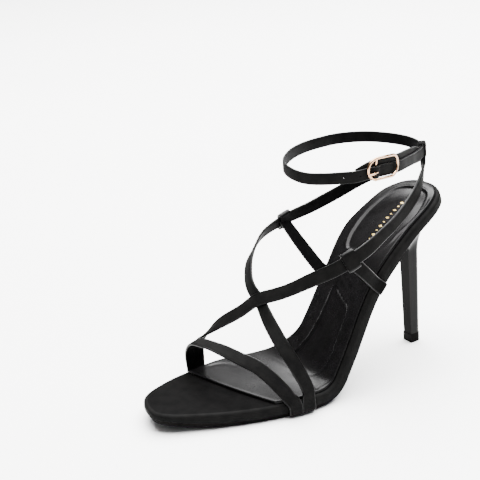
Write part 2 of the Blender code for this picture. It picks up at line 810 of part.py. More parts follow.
# Places across the ankle strap's layers, outward from the fixed layer's middle
HALF_ANKLE = ANKLE_STRAP_THICKNESS / 2
FREE_LAYER = ANKLE_STRAP_THICKNESS + FIT_GAP
PIVOT_BAR_OFFSET = HALF_ANKLE + FIT_GAP + PIVOT_BAR_WIRE / 2
FREE_OVER_BAR = PIVOT_BAR_OFFSET + PIVOT_BAR_WIRE / 2 + FIT_GAP + HALF_ANKLE
FRAME_OFFSET = FREE_LAYER + HALF_ANKLE + FIT_GAP + BUCKLE_WIRE / 2
END_BAR_AT = (BUCKLE_LENGTH - BUCKLE_WIRE) / 2
SIDE_BAR_AT = (BUCKLE_HEIGHT - BUCKLE_WIRE) / 2
PRONG_HALF_SLOT = PRONG_WIRE / 2 + FIT_GAP


def free_offset(at):
    """Offset of the free end's middle at a distance behind the buckle's middle."""
    from_bar = (at + PIVOT_BAR_AHEAD) / HUMP_HALF
    if abs(from_bar) <= 1:
        hump = 0.5 + 0.5 * math.cos(math.pi * from_bar)
        return FREE_LAYER + (FREE_OVER_BAR - FREE_LAYER) * hump
    ease = (-at - FIXED_END_AHEAD - FREE_EASE_GAP) / FREE_EASE
    return FREE_LAYER * (0.5 + 0.5 * math.cos(math.pi * min(1.0, max(0.0, ease))))


def make_upper(ring, material):
    """Toe strap, two crossing straps, two tabs with their loops and the back loop."""
    toe = strap_line(TOE_STRAP_MEDIAL, sized(TOE_STRAP_ROUTE, BALL_WIDTH), TOE_STRAP_LATERAL, TOE_STRAP_LIE)
    medial = strap_line(MEDIAL_STRAP_BASE, sized(MEDIAL_STRAP_ROUTE, BALL_WIDTH), lean=1.0)
    lateral = strap_line(LATERAL_STRAP_BASE, sized(LATERAL_STRAP_ROUTE, BALL_WIDTH), lean=1.0)
    upper = strip("upper", medial[0], medial[1], STRAP_SECTION, material)
    pieces = [strip("lateral_strap", lateral[0], lateral[1], STRAP_SECTION, material),
              strip("toe_strap", toe[0], toe[1], STRAP_SECTION, material)]
    half = STRAP_THICKNESS / 2 + TAB_FOLD
    fold = band(STRAP_WIDTH + 2 * TAB_FOLD, -half, half, STRAP_BEVEL)
    for label, base, line, route, row in (
            ("lateral", LATERAL_TAB_BASE, medial, MEDIAL_STRAP_ROUTE, LATERAL_LOOP_ROW),
            ("medial", MEDIAL_TAB_BASE, lateral, LATERAL_STRAP_ROUTE, MEDIAL_LOOP_ROW)):
        centre = sized(route, BALL_WIDTH)[row]
        points, normals = stretch(line[0], line[1], centre, TAB_WIDTH)
        pieces.append(strip(label + "_fold", points, normals, fold, material))
        side = wrap(base)[0][-1]
        middle = side + (centre - side) * 0.5
        middle = middle + outward(middle) * TAB_BOW
        tab = strap_line(base, [middle, centre])
        pieces.append(strip(label + "_tab", tab[0], tab[1], TAB_SECTION, material))
    inner = (-HALF_ANKLE - FIT_GAP, FREE_LAYER + HALF_ANKLE + FIT_GAP)
    room = ANKLE_STRAP_WIDTH / 2 + FIT_GAP
    span = (ring.loop_at - LOOP_LENGTH / 2, ring.loop_at + LOOP_LENGTH / 2)
    pieces.append(ring_block("back_loop", ring, span, (inner[0] - LOOP_WALL, inner[1] + LOOP_WALL),
                             room + LOOP_WALL, material))
    for piece in pieces:
        combine(upper, piece, "UNION")
    clear = (span[0] - LOOP_LENGTH, span[1] + LOOP_LENGTH)
    combine(upper, ring_block("loop_room", ring, clear, inner, room, material, 12), "DIFFERENCE")
    tidy_mesh(upper)
    return upper


def make_ankle_strap(ring, material):
    """One band: from under the buckle's bar, once round the ankle and back over itself."""
    points, normals = [], []
    ahead = FIXED_END_AHEAD + FREE_EASE_GAP + FREE_EASE - PIVOT_BAR_AHEAD
    ease = ring.length - PIVOT_BAR_AHEAD - math.ceil(ahead / BUCKLE_STEP) * BUCKLE_STEP
    over = ring.length + END_BAR_AT + BUCKLE_STEP
    tip = ring.length + ring.loop_at + STRAP_END_PAST_LOOP
    stops = list(np.arange(-FIXED_END_AHEAD, ease, RING_STEP)) + list(np.arange(ease, over, BUCKLE_STEP))
    stops += list(np.arange(over, tip - BUCKLE_STEP, RING_STEP)) + [tip]
    for at in stops:
        if at < ring.length / 2:
            offset = 0.0
            rise = FIXED_LAYER_LIFT * float(monotone(FIXED_LAYER_RISE, at / ring.loop_at))
        else:
            offset, rise = free_offset(at - ring.length), 0.0
        points.append(ring.place(at, offset, -rise))
        normals.append(ring.frame(at)[1])
    section = band(ANKLE_STRAP_WIDTH, -HALF_ANKLE, HALF_ANKLE, ANKLE_STRAP_BEVEL)
    strap = strip("ankle_strap", np.array(points), np.array(normals), section, material)
    span = (-PIVOT_BAR_AHEAD - SLOT_AHEAD, -PIVOT_BAR_AHEAD + SLOT_BEHIND)
    slot = ring_block("prong_slot", ring, span, (HALF_ANKLE, 2 * FREE_OVER_BAR), PRONG_HALF_SLOT, material)
    combine(strap, slot, "DIFFERENCE")
    tidy_mesh(strap)
    return strap


def make_buckle(ring, material):
    """Rounded wire frame with a pivot bar that is set lower, and a short prong on it."""
    loop = []
    corners = ((1, 1), (-1, 1), (-1, -1), (1, -1))
    for n, (sx, sy) in enumerate(corners):
        for a in np.linspace(0, math.pi / 2, 6):
            a += n * math.pi / 2
            x = sx * (END_BAR_AT - BUCKLE_CORNER) + BUCKLE_CORNER * math.cos(a)
            y = sy * (SIDE_BAR_AT - BUCKLE_CORNER) + BUCKLE_CORNER * math.sin(a)
            loop.append(ring.place(x, FRAME_OFFSET, y - BUCKLE_RAISE))
    frame = make_tube("buckle_frame", loop, BUCKLE_WIRE, material, cyclic=True)
    bar_at, low = -PIVOT_BAR_AHEAD, ANKLE_STRAP_WIDTH / 2 + 2 * FIT_GAP
    midway = 0.5 * (FRAME_OFFSET + PIVOT_BAR_OFFSET)
    profile = ((-BUCKLE_RAISE - SIDE_BAR_AT, FRAME_OFFSET), (-low - PIVOT_BAR_TURN, midway),
               (-low, PIVOT_BAR_OFFSET), (0.0, PIVOT_BAR_OFFSET), (low, PIVOT_BAR_OFFSET),
               (low + PIVOT_BAR_TURN, midway), (-BUCKLE_RAISE + SIDE_BAR_AT, FRAME_OFFSET))
    bar = make_tube("pivot_bar", [ring.place(bar_at, o, y) for y, o in profile], PIVOT_BAR_WIRE, material)
    combine(frame, bar, "UNION")
    tidy_mesh(frame, 60)
    curl = PIVOT_BAR_WIRE / 2 + FIT_GAP + PRONG_WIRE / 2
    rest = FRAME_OFFSET + BUCKLE_WIRE / 2 + FIT_GAP + PRONG_WIRE / 2
    guide = [(bar_at + curl * math.cos(a), PIVOT_BAR_OFFSET + curl * math.sin(a))
             for a in np.radians(PRONG_CURL)]
    guide += [(bar_at - ahead, rest - below) for ahead, below in PRONG_CLIMB]
    guide += [(-END_BAR_AT, rest), (-END_BAR_AT - PRONG_OVERHANG, rest - PRONG_TIP_DROP)]
    prong = make_tube("buckle_prong", [ring.place(a, o) for a, o in guide], PRONG_WIRE, material)
    return frame, prong


def make_material(name, colour, roughness, metallic=0.0):
    """Principled material."""
    material = bpy.data.materials.new(name)
    material.use_nodes = True
    shader = material.node_tree.nodes["Principled BSDF"]
    shader.inputs["Base Color"].default_value = (*colour, 1.0)
    shader.inputs["Roughness"].default_value = roughness
    shader.inputs["Metallic"].default_value = metallic
    return material


def seat_on_origin(parts):
    """Carry the parts on an empty that puts the origin under the shoe's middle."""
    corners = np.array([obj.matrix_world @ v.co for obj in parts for v in obj.data.vertices])
    low, high = corners.min(0), corners.max(0)
    carrier = bpy.data.objects.new("sandal", None)
    SHOE.objects.link(carrier)
    for obj in parts:
        obj.parent = carrier
    carrier.location = Vector((-(low[0] + high[0]) / 2, -(low[1] + high[1]) / 2, 0.0))


def build():
    """Make every piece of the sandal."""
    satin = make_material("black_satin", (0.012, 0.012, 0.012), 0.42)
    sock = make_material("sock_leather", (0.035, 0.034, 0.036), 0.35)
    lacquer = make_material("heel_lacquer", (0.008, 0.008, 0.008), 0.12)
    rubber = make_material("sole_rubber", (0.015, 0.015, 0.015), 0.6)
    gold = make_material("rose_gold", (0.86, 0.58, 0.40), 0.22, 1.0)
    whole = ((0.0, 0.0), (INSOLE_LENGTH, INSOLE_LENGTH))
    breast = INSOLE_LENGTH - HEEL_SEAT_LENGTH - FIT_GAP
    parts = [
        sole_layer("insole_board", *whole, 0.0, 0.0, BOARD_THICKNESS, BOARD_RIM_RADIUS,
                   BOARD_EDGE_RADIUS, 42, 4, satin),
        sole_layer("sock_lining", (SOCK_FRONT_LATERAL, SOCK_FRONT_MEDIAL), whole[1], SOCK_INSET,
                   FIT_GAP + SOCK_THICKNESS, SOCK_THICKNESS, SOCK_EDGE_RADIUS, SOCK_FOOT_RADIUS, 30, 6, sock,
                   SOCK_FRONT_BULGE, SOCK_CROWN),
        sole_layer("outsole", whole[0], (breast, breast), OUTSOLE_INSET,
                   -(BOARD_THICKNESS + FIT_GAP), OUTSOLE_THICKNESS, OUTSOLE_RIM_RADIUS,
                   OUTSOLE_EDGE_RADIUS, 34, 2, rubber),
        make_heel(lacquer),
        make_top_lift(rubber),
    ]
    ring = AnkleRing()
    parts.append(make_upper(ring, satin))
    parts.append(make_ankle_strap(ring, satin))
    parts.extend(make_buckle(ring, gold))
    seat_on_origin(parts)


for old_object in list(bpy.data.objects):
    bpy.data.objects.remove(old_object)
SHOE = bpy.data.collections.new("strappy_sandal")
bpy.context.scene.collection.children.link(SHOE)
build()
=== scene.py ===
"""Looks of the strappy high-heeled sandal: fine pieces, materials, camera and light.

Lengths are in metres. The pieces are laid out in the bed's own frame, with the toe's
end at y = 0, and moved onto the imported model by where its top-lift stands.
"""
import math

import bmesh
import bpy
import numpy as np
from mathutils import Matrix, Vector


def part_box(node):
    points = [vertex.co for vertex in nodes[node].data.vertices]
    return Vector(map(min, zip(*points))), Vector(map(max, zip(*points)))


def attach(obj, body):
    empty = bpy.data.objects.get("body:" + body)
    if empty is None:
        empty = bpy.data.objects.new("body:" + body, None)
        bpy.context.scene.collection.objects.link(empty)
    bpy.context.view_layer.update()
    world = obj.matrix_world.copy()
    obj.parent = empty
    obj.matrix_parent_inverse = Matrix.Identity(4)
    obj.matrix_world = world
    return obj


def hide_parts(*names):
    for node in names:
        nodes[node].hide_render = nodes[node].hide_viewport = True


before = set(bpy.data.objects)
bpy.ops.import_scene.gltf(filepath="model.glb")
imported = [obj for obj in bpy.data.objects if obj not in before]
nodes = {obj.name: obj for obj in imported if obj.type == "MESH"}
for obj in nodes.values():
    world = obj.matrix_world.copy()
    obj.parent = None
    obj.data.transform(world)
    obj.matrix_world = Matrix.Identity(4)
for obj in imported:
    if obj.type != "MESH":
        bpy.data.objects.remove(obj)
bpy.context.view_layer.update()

# Foot bed
INSOLE_LENGTH = 0.243
HEEL_RISE = 0.0942
TOE_SPRING = math.radians(5.5)
BALL_WIDTH = 0.0745
WAIST_WIDTH = 0.0448
SEAT_WIDTH = 0.0514
WAIST_TWIST = math.radians(4.0)
TWIST_PIVOT = 0.0130

# Layers of the sole
BOARD_THICKNESS = 0.0062
BOARD_RIM_RADIUS = 0.0022
BOARD_EDGE_RADIUS = 0.0008
OUTSOLE_THICKNESS = 0.0026
TOE_THINNING = 0.0022
TOE_THIN_SHARE = 0.13
OUTSOLE_INSET = 0.0018
SOCK_THICKNESS = 0.0014
SOCK_CROWN = 0.0010
CROWN_FADE_WIDTH = 0.030
SOCK_INSET = 0.0028
SOCK_EDGE_RADIUS = 0.0008
SOCK_FRONT_LATERAL = 0.060
SOCK_FRONT_MEDIAL = 0.040
SOCK_FRONT_BULGE = 0.0015
FIT_GAP = 0.0003

# Heel
HEEL_SEAT_LENGTH = 0.050
HEEL_SEAT_INSET = 0.0010
HEEL_TIP_WIDTH = 0.0074
HEEL_TIP_DEPTH = 0.0076
HEEL_TIP_SETBACK = 0.0170
HEEL_TIP_OUTWARD = 0.0010
HEEL_ROOT_WIDTH = 0.0092
HEEL_ROOT_DEPTH = 0.0092
HEEL_ROOT_FORWARD = 0.0008
HEEL_BACK_RADIUS = 0.0030
FRONT_FLARE = 0.0130
BACK_FLARE = 0.0360
TOP_LIFT_HEIGHT = 0.0055

# Straps of the upper
STRAP_WIDTH = 0.0083
STRAP_THICKNESS = 0.0014
TAB_WIDTH = 0.0080
TAB_FOLD = 0.0011
TAB_BOW = 0.0012
WRAP_RISE = 0.0004
WRAP_CLEAR = 0.0008
TOE_STRAP_LIE = 0.0004
LOOP_LENGTH = 0.0070
LOOP_WALL = 0.0009
CROSSING_LIFT = 0.0008

# Ankle strap and buckle
ANKLE_ABOVE_SEAT = 0.0255
ANKLE_WIDTH = 0.0730
ANKLE_STRAP_WIDTH = 0.0070
ANKLE_STRAP_THICKNESS = 0.0011
FIXED_END_AHEAD = 0.0170
FIXED_LAYER_LIFT = 0.0037
FREE_EASE = 0.0200
FREE_EASE_GAP = 0.0010
BUCKLE_LENGTH = 0.0250
BUCKLE_HEIGHT = 0.0138
BUCKLE_RAISE = 0.0021
BUCKLE_CORNER = 0.0058
BUCKLE_WIRE = 0.0016
PIVOT_BAR_AHEAD = 0.0064
PIVOT_BAR_TURN = 0.0005
HUMP_HALF = 0.0038
PIVOT_BAR_WIRE = 0.0012
PRONG_WIRE = 0.0013
PRONG_OVERHANG = 0.0012
STRAP_END_PAST_LOOP = 0.0030
HOLE_PITCH = 0.0095
HOLE_RADIUS = 0.00032
RIVET_BEHIND = 0.0195
RIVET_UP = 0.0010
HOLE_REACH = 0.0008

# Fine detail of the straps
STITCH_IN = 0.0011
STITCH_DEPTH = 0.00010
STITCH_HALF = 0.00009
STITCH_LINING_SHARE = 0.6
STITCH_ROWS = (-0.00030, -0.00016, -0.00007, 0.0, 0.00007, 0.00016, 0.00030)
STRAP_CROWN = 0.00012
ANKLE_STITCH_IN = 0.0010
ANKLE_STITCH_DEPTH = 0.00008
ANKLE_CROWN = 0.0001
EDGE_ROUND_SHARE = 0.46
EDGE_LEDGE = 0.0001
EDGE_CORNERS = 9
CROSSING_REACH = 0.009
WAVE_HEIGHT = 0.00008
WAVE_LENGTHS = (0.017, 0.029, 0.043)
WIDTH_WAVE = 0.012
WIDTH_WAVE_LENGTHS = (0.021, 0.037)
FOLD_ROWS = 21
FOLD_DRAW = 0.05
LOOP_CORNERS, LOOP_ROWS = 48, 25
LOOP_OUTER_POWER, LOOP_INNER_POWER = 7.0, 14.0
LOOP_DRAW = 0.03
BAND_ROWS = 640

# Fine detail of the sock and its marks
PRESS_DEPTH = 0.0007
PRESS_START, PRESS_SPREAD = 0.0006, 0.0014
SEAT_RIDGE = (0.00030, 0.0009, 0.0008)
PETAL_RIDGE = (0.00055, 0.0008, 0.0006)
PETAL_FROM, PETAL_FADE = 0.385, 0.05
LINE_END_FADE = 0.12
SOCK_WAVE = 0.00012
MARK_COUNT = 11
MARK_LARGE, MARK_SMALL = (0.0017, 0.0009), (0.0011, 0.0006)
MARK_RINGS = ((1.0, 0.0), (0.82, 0.00008))
MARK_ROW = 0.9

# Fine detail of the sole, heel and wires
BOARD_ROWS, BOARD_COLS = 150, 16
SOCK_ROWS, SOCK_COLS = 190, 84
HEEL_ROWS, HEEL_COLS, HEEL_LEVELS = 42, 12, 64
HEEL_LEVEL_POWER = 1.5
HEEL_SHARP, STRAP_SHARP, LOOP_SHARP = 34, 60, 50
BOARD_RIM_STEPS, SOCK_RIM_STEPS, EDGE_STEPS = 8, 6, 4
CORNER_STEPS, PRONG_SPAN, RING_SPAN = 14, 8, 12
FLARE_TURN = 0.7
SHADED_BREAST_FACING = -0.6
WIRE_CORNERS = 20
RING_STEP = 0.0006
PRONG_DROOP = 0.0002
PRONG_CURL = (0.1, 0.6, 1.13, 1.66)
PRONG_THINNING = 0.25
PRONG_TIP_ROWS, PRONG_TIP_SHARE = 6, 0.93

# Smoothness of the lines and of the meshes
SOLE_SHARP = 40
WELD, WIRE_WELD = 1e-6, 1e-7
EDGE_PROBE = 0.02
NORMAL_EASE_ROWS, NORMAL_ROUNDS = 4, 3
FINE_STEP, FINE_SPAN, FINE_ROUNDS = 0.0008, 10, 6
LINE_SPAN = 8
FRAME_REACH = 0.004

# Shape of the bed: share of its length with share of the steepest slope, then of the twist
BED_SLOPES = (
    (0.29, 0.00), (0.35, 0.07), (0.45, 0.95), (0.55, 1.00),
    (0.65, 0.92), (0.75, 0.65), (0.87, 0.50), (1.00, 0.27),
)
SPRING_END = 0.24
SPRING_POWER = 0.7
STEEPEST = math.radians(85)
HALVINGS = 50
FLAT_AT = 0.265
BED_TWIST = ((0.36, 0.00), (0.44, 1.00), (0.66, 1.00), (0.84, 0.00))
# Share of the length, shares of a width on the lateral and medial side, and that width
OUTLINE = (
    (0.00, 0.000, 0.000, BALL_WIDTH),
    (0.03, 0.150, 0.283, BALL_WIDTH),
    (0.08, 0.240, 0.390, BALL_WIDTH),
    (0.16, 0.362, 0.480, BALL_WIDTH),
    (0.26, 0.477, 0.520, BALL_WIDTH),
    (0.36, 0.545, 0.437, BALL_WIDTH),
    (0.50, 0.825, 0.288, WAIST_WIDTH),
    (0.65, 0.708, 0.350, WAIST_WIDTH),
    (0.80, 0.568, 0.480, SEAT_WIDTH),
    (0.90, 0.512, 0.470, SEAT_WIDTH),
    (0.96, 0.392, 0.362, SEAT_WIDTH),
    (1.00, 0.000, 0.000, SEAT_WIDTH),
)

# Where straps go under the board: share of its length and side. Routes: thousandths of the
# width of the ball or ankle, of the bed's run and of the ankle strap's height
TOE_STRAP_MEDIAL = (0.203, -1)
TOE_STRAP_LATERAL = (0.302, 1)
MEDIAL_STRAP_BASE = (0.222, -1)
LATERAL_STRAP_BASE = (0.334, 1)
LATERAL_TAB_BASE = (0.680, 1)
MEDIAL_TAB_BASE = (0.643, -1)
TOE_STRAP_ROUTE = (
    (-505, 234, 170), (-405, 231, 236), (-255, 241, 251), (-107, 258, 247), (107, 279, 234),
    (242, 301, 213), (349, 317, 178), (456, 334, 127), (530, 348, 80),
)
MEDIAL_STRAP_ROUTE = (
    (-525, 262, 140), (-497, 260, 198), (-430, 277, 251), (-320, 304, 315), (-134, 338, 396), (0, 369, 463),
    (188, 418, 518), (362, 479, 586), (470, 522, 629), (523, 564, 664), (523, 617, 691), (483, 675, 718),
    (383, 780, 766), (242, 880, 824), (165, 921, 865), (112, 945, 903), (68, 957, 955),
)
LATERAL_STRAP_ROUTE = (
    (535, 398, 110), (483, 374, 232), (385, 358, 317), (220, 360, 386), (13, 371, 456), (-100, 372, 500),
    (-188, 384, 535), (-285, 410, 583), (-349, 442, 620), (-410, 490, 668), (-443, 573, 703),
    (-450, 675, 728), (-416, 768, 772), (-330, 834, 826), (-188, 909, 889), (-40, 950, 932), (12, 957, 955),
)
LATERAL_LOOP_ROW = 9
MEDIAL_LOOP_ROW = 10
MEDIAL_CROSSING_ROW = 5
LATERAL_CROSSING_ROW = 4
ANKLE_ROUTE = (
    (55, 956, 984), (219, 879, 993), (342, 814, 1009), (452, 748, 1024), (519, 681, 1041), (534, 634, 1046),
    (524, 596, 1044), (488, 555, 1046), (425, 518, 1045), (288, 486, 1042), (137, 474, 1051),
    (0, 485, 1062), (-123, 527, 1071), (-274, 605, 1065), (-397, 706, 1049), (-460, 800, 1032),
    (-411, 893, 1014), (-225, 958, 998), (-82, 974, 987),
)
BUCKLE_ROW = 4
FIXED_LAYER_RISE = (
    (-0.28, 0.00), (-0.19, 0.55), (-0.08, 0.95), (0.00, 1.00), (0.45, 0.95), (0.68, 0.85), (0.90, 0.00),
    (1.20, 0.00),
)
PRONG_CLIMB = ((0.0012, 0.0011), (0.0026, 0.0004))
# How far the straps' outer faces lean, by place across and by height
LEAN_ACROSS = ((-0.52, 0.0), (-0.45, 0.8), (-0.32, 1.7), (-0.10, 1.7), (0.10, 0.8), (0.30, 0.0))
LEAN_HEIGHT = ((0.20, 0.0), (0.27, 0.6), (0.33, 1.0), (0.46, 1.0), (0.58, 0.0))
REAR_LEAN = ((0.72, 0.00), (0.83, 0.38), (0.96, 0.38))
FOOT_AXIS = ((0.20, 0.06), (0.39, 0.19), (0.58, 0.42), (0.72, 0.80), (0.72, 1.30))

# Lines pressed into the sock: thousandths of the length, tenths of a millimetre across
SEAT_PANEL = (
    (735, 60), (722, -40), (746, -88), (787, -118), (828, -134), (871, -132), (907, -121), (927, -106),
    (940, -72), (949, -16), (954, 78), (946, 135), (921, 180), (897, 209), (870, 228), (842, 230),
    (807, 218), (783, 215), (757, 175),
)
PETAL = (
    (380, -60), (422, -20), (454, 10), (486, 36), (531, 50), (584, 49), (610, 42), (630, 46), (621, 70),
    (604, 168), (598, 211), (581, 230), (545, 243), (509, 256), (470, 268), (440, 262), (405, 230),
)
SHANK_LINE = ((663, 38), (650, 110), (634, 194))
BALL_LINE = ((470, 345), (431, 351), (398, 345), (366, 347))
TOE_CREASE = ((224, -312), (253, -302), (274, -259), (285, -190))
PRESSED_LINES = ((SHANK_LINE, 0.0005, 0.0006), (BALL_LINE, 0.0004, 0.0006), (TOE_CREASE, 0.0003, 0.0014))
MARKS = ((0.893, 0.0045), (0.753, 0.0066))

BED_STEPS = 240
FOREFOOT_HEIGHT = BOARD_THICKNESS + FIT_GAP + OUTSOLE_THICKNESS
ANKLE_HEIGHT = FOREFOOT_HEIGHT + HEEL_RISE + ANKLE_ABOVE_SEAT
STRAP_STEP = 0.0038


def monotone(rows, at):
    """Smooth curve through (x, y) rows that never overshoots them."""
    x = np.array([row[0] for row in rows])
    y = np.array([row[1] for row in rows])
    run = np.diff(x)
    rise = np.diff(y) / run
    tangent = np.zeros(len(x))
    tangent[0], tangent[-1] = rise[0], rise[-1]
    for i in range(1, len(x) - 1):
        if rise[i - 1] * rise[i] > 0:
            w1 = 2 * run[i] + run[i - 1]
            w2 = run[i] + 2 * run[i - 1]
            tangent[i] = (w1 + w2) / (w1 / rise[i - 1] + w2 / rise[i])
    at = np.clip(np.asarray(at, float), x[0], x[-1])
    k = np.clip(np.searchsorted(x, at, side="right") - 1, 0, len(x) - 2)
    u = (at - x[k]) / run[k]
    return ((1 + 2 * u) * (1 - u) ** 2 * y[k] + u * (1 - u) ** 2 * run[k] * tangent[k]
            + u * u * (3 - 2 * u) * y[k + 1] + u * u * (u - 1) * run[k] * tangent[k + 1])


def bed_curve():
    """Arc length, run, height and slope of the foot bed's centre line."""
    share = np.linspace(0, 1, BED_STEPS + 1)
    step = INSOLE_LENGTH / BED_STEPS
    shape = monotone(BED_SLOPES, share)
    spring = -TOE_SPRING * np.clip(1 - share / SPRING_END, 0, 1) ** SPRING_POWER

    def lay(steepest):
        slope = shape * steepest + spring
        middle = 0.5 * (slope[1:] + slope[:-1])
        run = np.concatenate([[0], np.cumsum(np.cos(middle) * step)])
        rise = np.concatenate([[0], np.cumsum(np.sin(middle) * step)])
        rise += FOREFOOT_HEIGHT - rise[int(FLAT_AT * BED_STEPS)]
        return run, rise, slope

    low, high = 0.0, STEEPEST
    for _ in range(HALVINGS):
        steepest = 0.5 * (low + high)
        if lay(steepest)[1][-1] < FOREFOOT_HEIGHT + HEEL_RISE:
            low = steepest
        else:
            high = steepest
    return (share * INSOLE_LENGTH,) + lay(high)


BED_ARC, BED_Y, BED_Z, BED_SLOPE = bed_curve()
BED_RUN = BED_Y[-1]
BED_ANGLE = np.arccos(1 - 2 * BED_ARC / INSOLE_LENGTH)
BED_TURNING = np.concatenate([[0], np.cumsum(np.abs(np.diff(BED_SLOPE)))])
ROW_MEASURE = BED_ANGLE + BED_TURNING


def smoothstep(x):
    x = np.clip(x, 0, 1)
    return x * x * (3 - 2 * x)


def on_bed(along, across, lift=0.0):
    """Points at arc lengths and across the foot, lifted square to the bed."""
    along, across, lift = np.broadcast_arrays(*[np.asarray(a, float) for a in (along, across, lift)])
    near = np.clip(1 - along / INSOLE_LENGTH / TOE_THIN_SHARE, 0, 1)
    lift = lift + TOE_THINNING * smoothstep(near) * smoothstep(-lift / BOARD_THICKNESS)
    slope = np.interp(along, BED_ARC, BED_SLOPE)
    y = np.interp(along, BED_ARC, BED_Y)
    z = np.interp(along, BED_ARC, BED_Z)
    twist = WAIST_TWIST * monotone(BED_TWIST, along / INSOLE_LENGTH)
    z = z - (across + TWIST_PIVOT) * np.tan(twist)
    return np.stack([across, y - lift * np.sin(slope), z + lift * np.cos(slope)], -1)


def turn(share):
    """Angle that runs evenly round the ends of the outline."""
    return np.arccos(1 - 2 * np.clip(share, 0, 1))


LATERAL_SIDE = [(float(turn(row[0])), row[1] * row[3]) for row in OUTLINE]
MEDIAL_SIDE = [(float(turn(row[0])), row[2] * row[3]) for row in OUTLINE]


def edge(angle, side, inset=0.0):
    """Flat outline point (along, across), moved in square to the outline."""
    rows = LATERAL_SIDE if side > 0 else MEDIAL_SIDE

    def outline(a):
        a = np.clip(a, 0, math.pi)
        return np.array([INSOLE_LENGTH * (1 - math.cos(a)) / 2, side * float(monotone(rows, a))])

    point = outline(angle)
    ahead = outline(angle + EDGE_PROBE) - outline(angle - EDGE_PROBE)
    ahead /= np.linalg.norm(ahead)
    inward = np.array([ahead[1], -ahead[0]]) * side
    if angle <= 1e-6:
        inward = np.array([1.0, 0.0])
    elif angle >= math.pi - 1e-6:
        inward = np.array([-1.0, 0.0])
    return point + inward * inset


def wander(at, seed, *waves):
    """Slow deterministic variation along a line, made of sines of the given lengths."""
    total = np.zeros_like(np.asarray(at, float))
    for n, wave in enumerate(waves):
        total += np.sin(2 * math.pi * at / wave + 1.7 * seed + 2.3 * n) / len(waves)
    return total


def spline(points, closed=False, per_span=6):
    """Centripetal curve through points, as many points."""
    pts = [np.asarray(p, float) for p in points]
    if closed:
        pts = [pts[-1]] + pts + [pts[0], pts[1]]
    else:
        pts = [2 * pts[0] - pts[1]] + pts + [2 * pts[-1] - pts[-2]]
    out = []

    def mix(a, b, start, end, t):
        return ((end - t) * a + (t - start) * b) / (end - start)

    for p0, p1, p2, p3 in zip(pts, pts[1:], pts[2:], pts[3:]):
        gaps = [math.sqrt(np.linalg.norm(b - a)) for a, b in ((p0, p1), (p1, p2), (p2, p3))]
        t0, t1, t2, t3 = np.cumsum([0.0] + gaps)
        for t in np.linspace(t1, t2, per_span, endpoint=False):
            middle = mix(p1, p2, t1, t2, t)
            before = mix(mix(p0, p1, t0, t1, t), middle, t0, t2, t)
            after = mix(middle, mix(p2, p3, t2, t3, t), t1, t3, t)
            out.append(mix(before, after, t1, t2, t))
    if not closed:
        out.append(pts[-2])
    return np.array(out)


def arc_of(points):
    """Distance along a line at each of its points."""
    return np.concatenate([[0], np.cumsum(np.linalg.norm(np.diff(points, axis=0), axis=1))])


def read_at(at, arc, rows):
    """Rows given at distances arc, read at other distances."""
    return np.stack([np.interp(at, arc, column) for column in rows.T], -1)


def respace(points, step):
    """The same line with even steps of about the given length."""
    arc = arc_of(points)
    at = np.linspace(0, arc[-1], max(2, int(round(arc[-1] / step)) + 1))
    return read_at(at, arc, points)


def smooth_line(points, rounds):
    """Points eased towards their neighbours, ends kept."""
    out = np.array(points, float)
    for _ in range(rounds):
        out[1:-1] = 0.5 * out[1:-1] + 0.25 * (out[:-2] + out[2:])
    return out


def outward(point, lean=0.0):
    """Direction from the middle of the foot to a point, leant forward over the instep
    and up at the back."""
    axis = [np.array([0.0, y * BED_RUN, z * ANKLE_HEIGHT]) for y, z in FOOT_AXIS]
    best, found = None, None
    for a, b in zip(axis, axis[1:]):
        t = np.clip(np.dot(point - a, b - a) / np.dot(b - a, b - a), 0, 1)
        foot = a + t * (b - a)
        gap = np.linalg.norm(point - foot)
        if best is None or gap < best:
            best, found = gap, foot
    height = point[2] / ANKLE_HEIGHT
    forward = float(monotone(LEAN_ACROSS, point[0] / BALL_WIDTH) * monotone(LEAN_HEIGHT, height))
    up = float(monotone(REAR_LEAN, height))
    away = (point - found) / best + lean * np.array([0.0, -forward, up])
    return away / np.linalg.norm(away)


def tangents(points, closed=False):
    """Directions along a line, at each of its points."""
    ahead = np.roll(points, -1, 0) - np.roll(points, 1, 0) if closed else np.gradient(points, axis=0)
    return ahead / np.linalg.norm(ahead, axis=1, keepdims=True)


def square_to(normals, along):
    """Normals made square to the line's direction."""
    out = normals - (normals * along).sum(1, keepdims=True) * along
    return out / np.linalg.norm(out, axis=1, keepdims=True)


def wrap(base, lie=0.0):
    """Points and normals of a strap's end, from under the board up its side."""
    share, side = base
    angle = float(turn(share))
    clear = FIT_GAP + STRAP_THICKNESS / 2 + lie
    bend = BOARD_EDGE_RADIUS + clear
    reach = OUTSOLE_INSET - WRAP_CLEAR

    def place(inset, lift):
        flat = edge(angle, side, inset)
        return on_bed(flat[0], flat[1], lift)

    points = [place(reach, -(BOARD_THICKNESS + clear))]
    turns = np.linspace(0, math.pi / 2, EDGE_STEPS)
    for a in turns:
        inset = BOARD_EDGE_RADIUS - bend * math.sin(a)
        lift = -BOARD_THICKNESS + BOARD_EDGE_RADIUS - bend * math.cos(a)
        points.append(place(inset, lift))
    points.append(place(-clear, -BOARD_RIM_RADIUS))
    points.append(place(-clear, WRAP_RISE))
    slope = float(np.interp(share * INSOLE_LENGTH, BED_ARC, BED_SLOPE))
    down = np.array([0.0, math.sin(slope), -math.cos(slope)])
    out_flat = edge(angle, side, -1e-3) - edge(angle, side, 0.0)
    out = on_bed(share * INSOLE_LENGTH + out_flat[0], out_flat[1]) - on_bed(share * INSOLE_LENGTH, 0.0)
    out /= np.linalg.norm(out)
    normals = [down] + [down * math.cos(a) + out * math.sin(a) for a in turns] + [out, out]
    return points, normals


def sized(route, width):
    """Route rows as points."""
    return [np.array([x / 1000 * width, y / 1000 * BED_RUN, z / 1000 * ANKLE_HEIGHT]) for x, y, z in route]


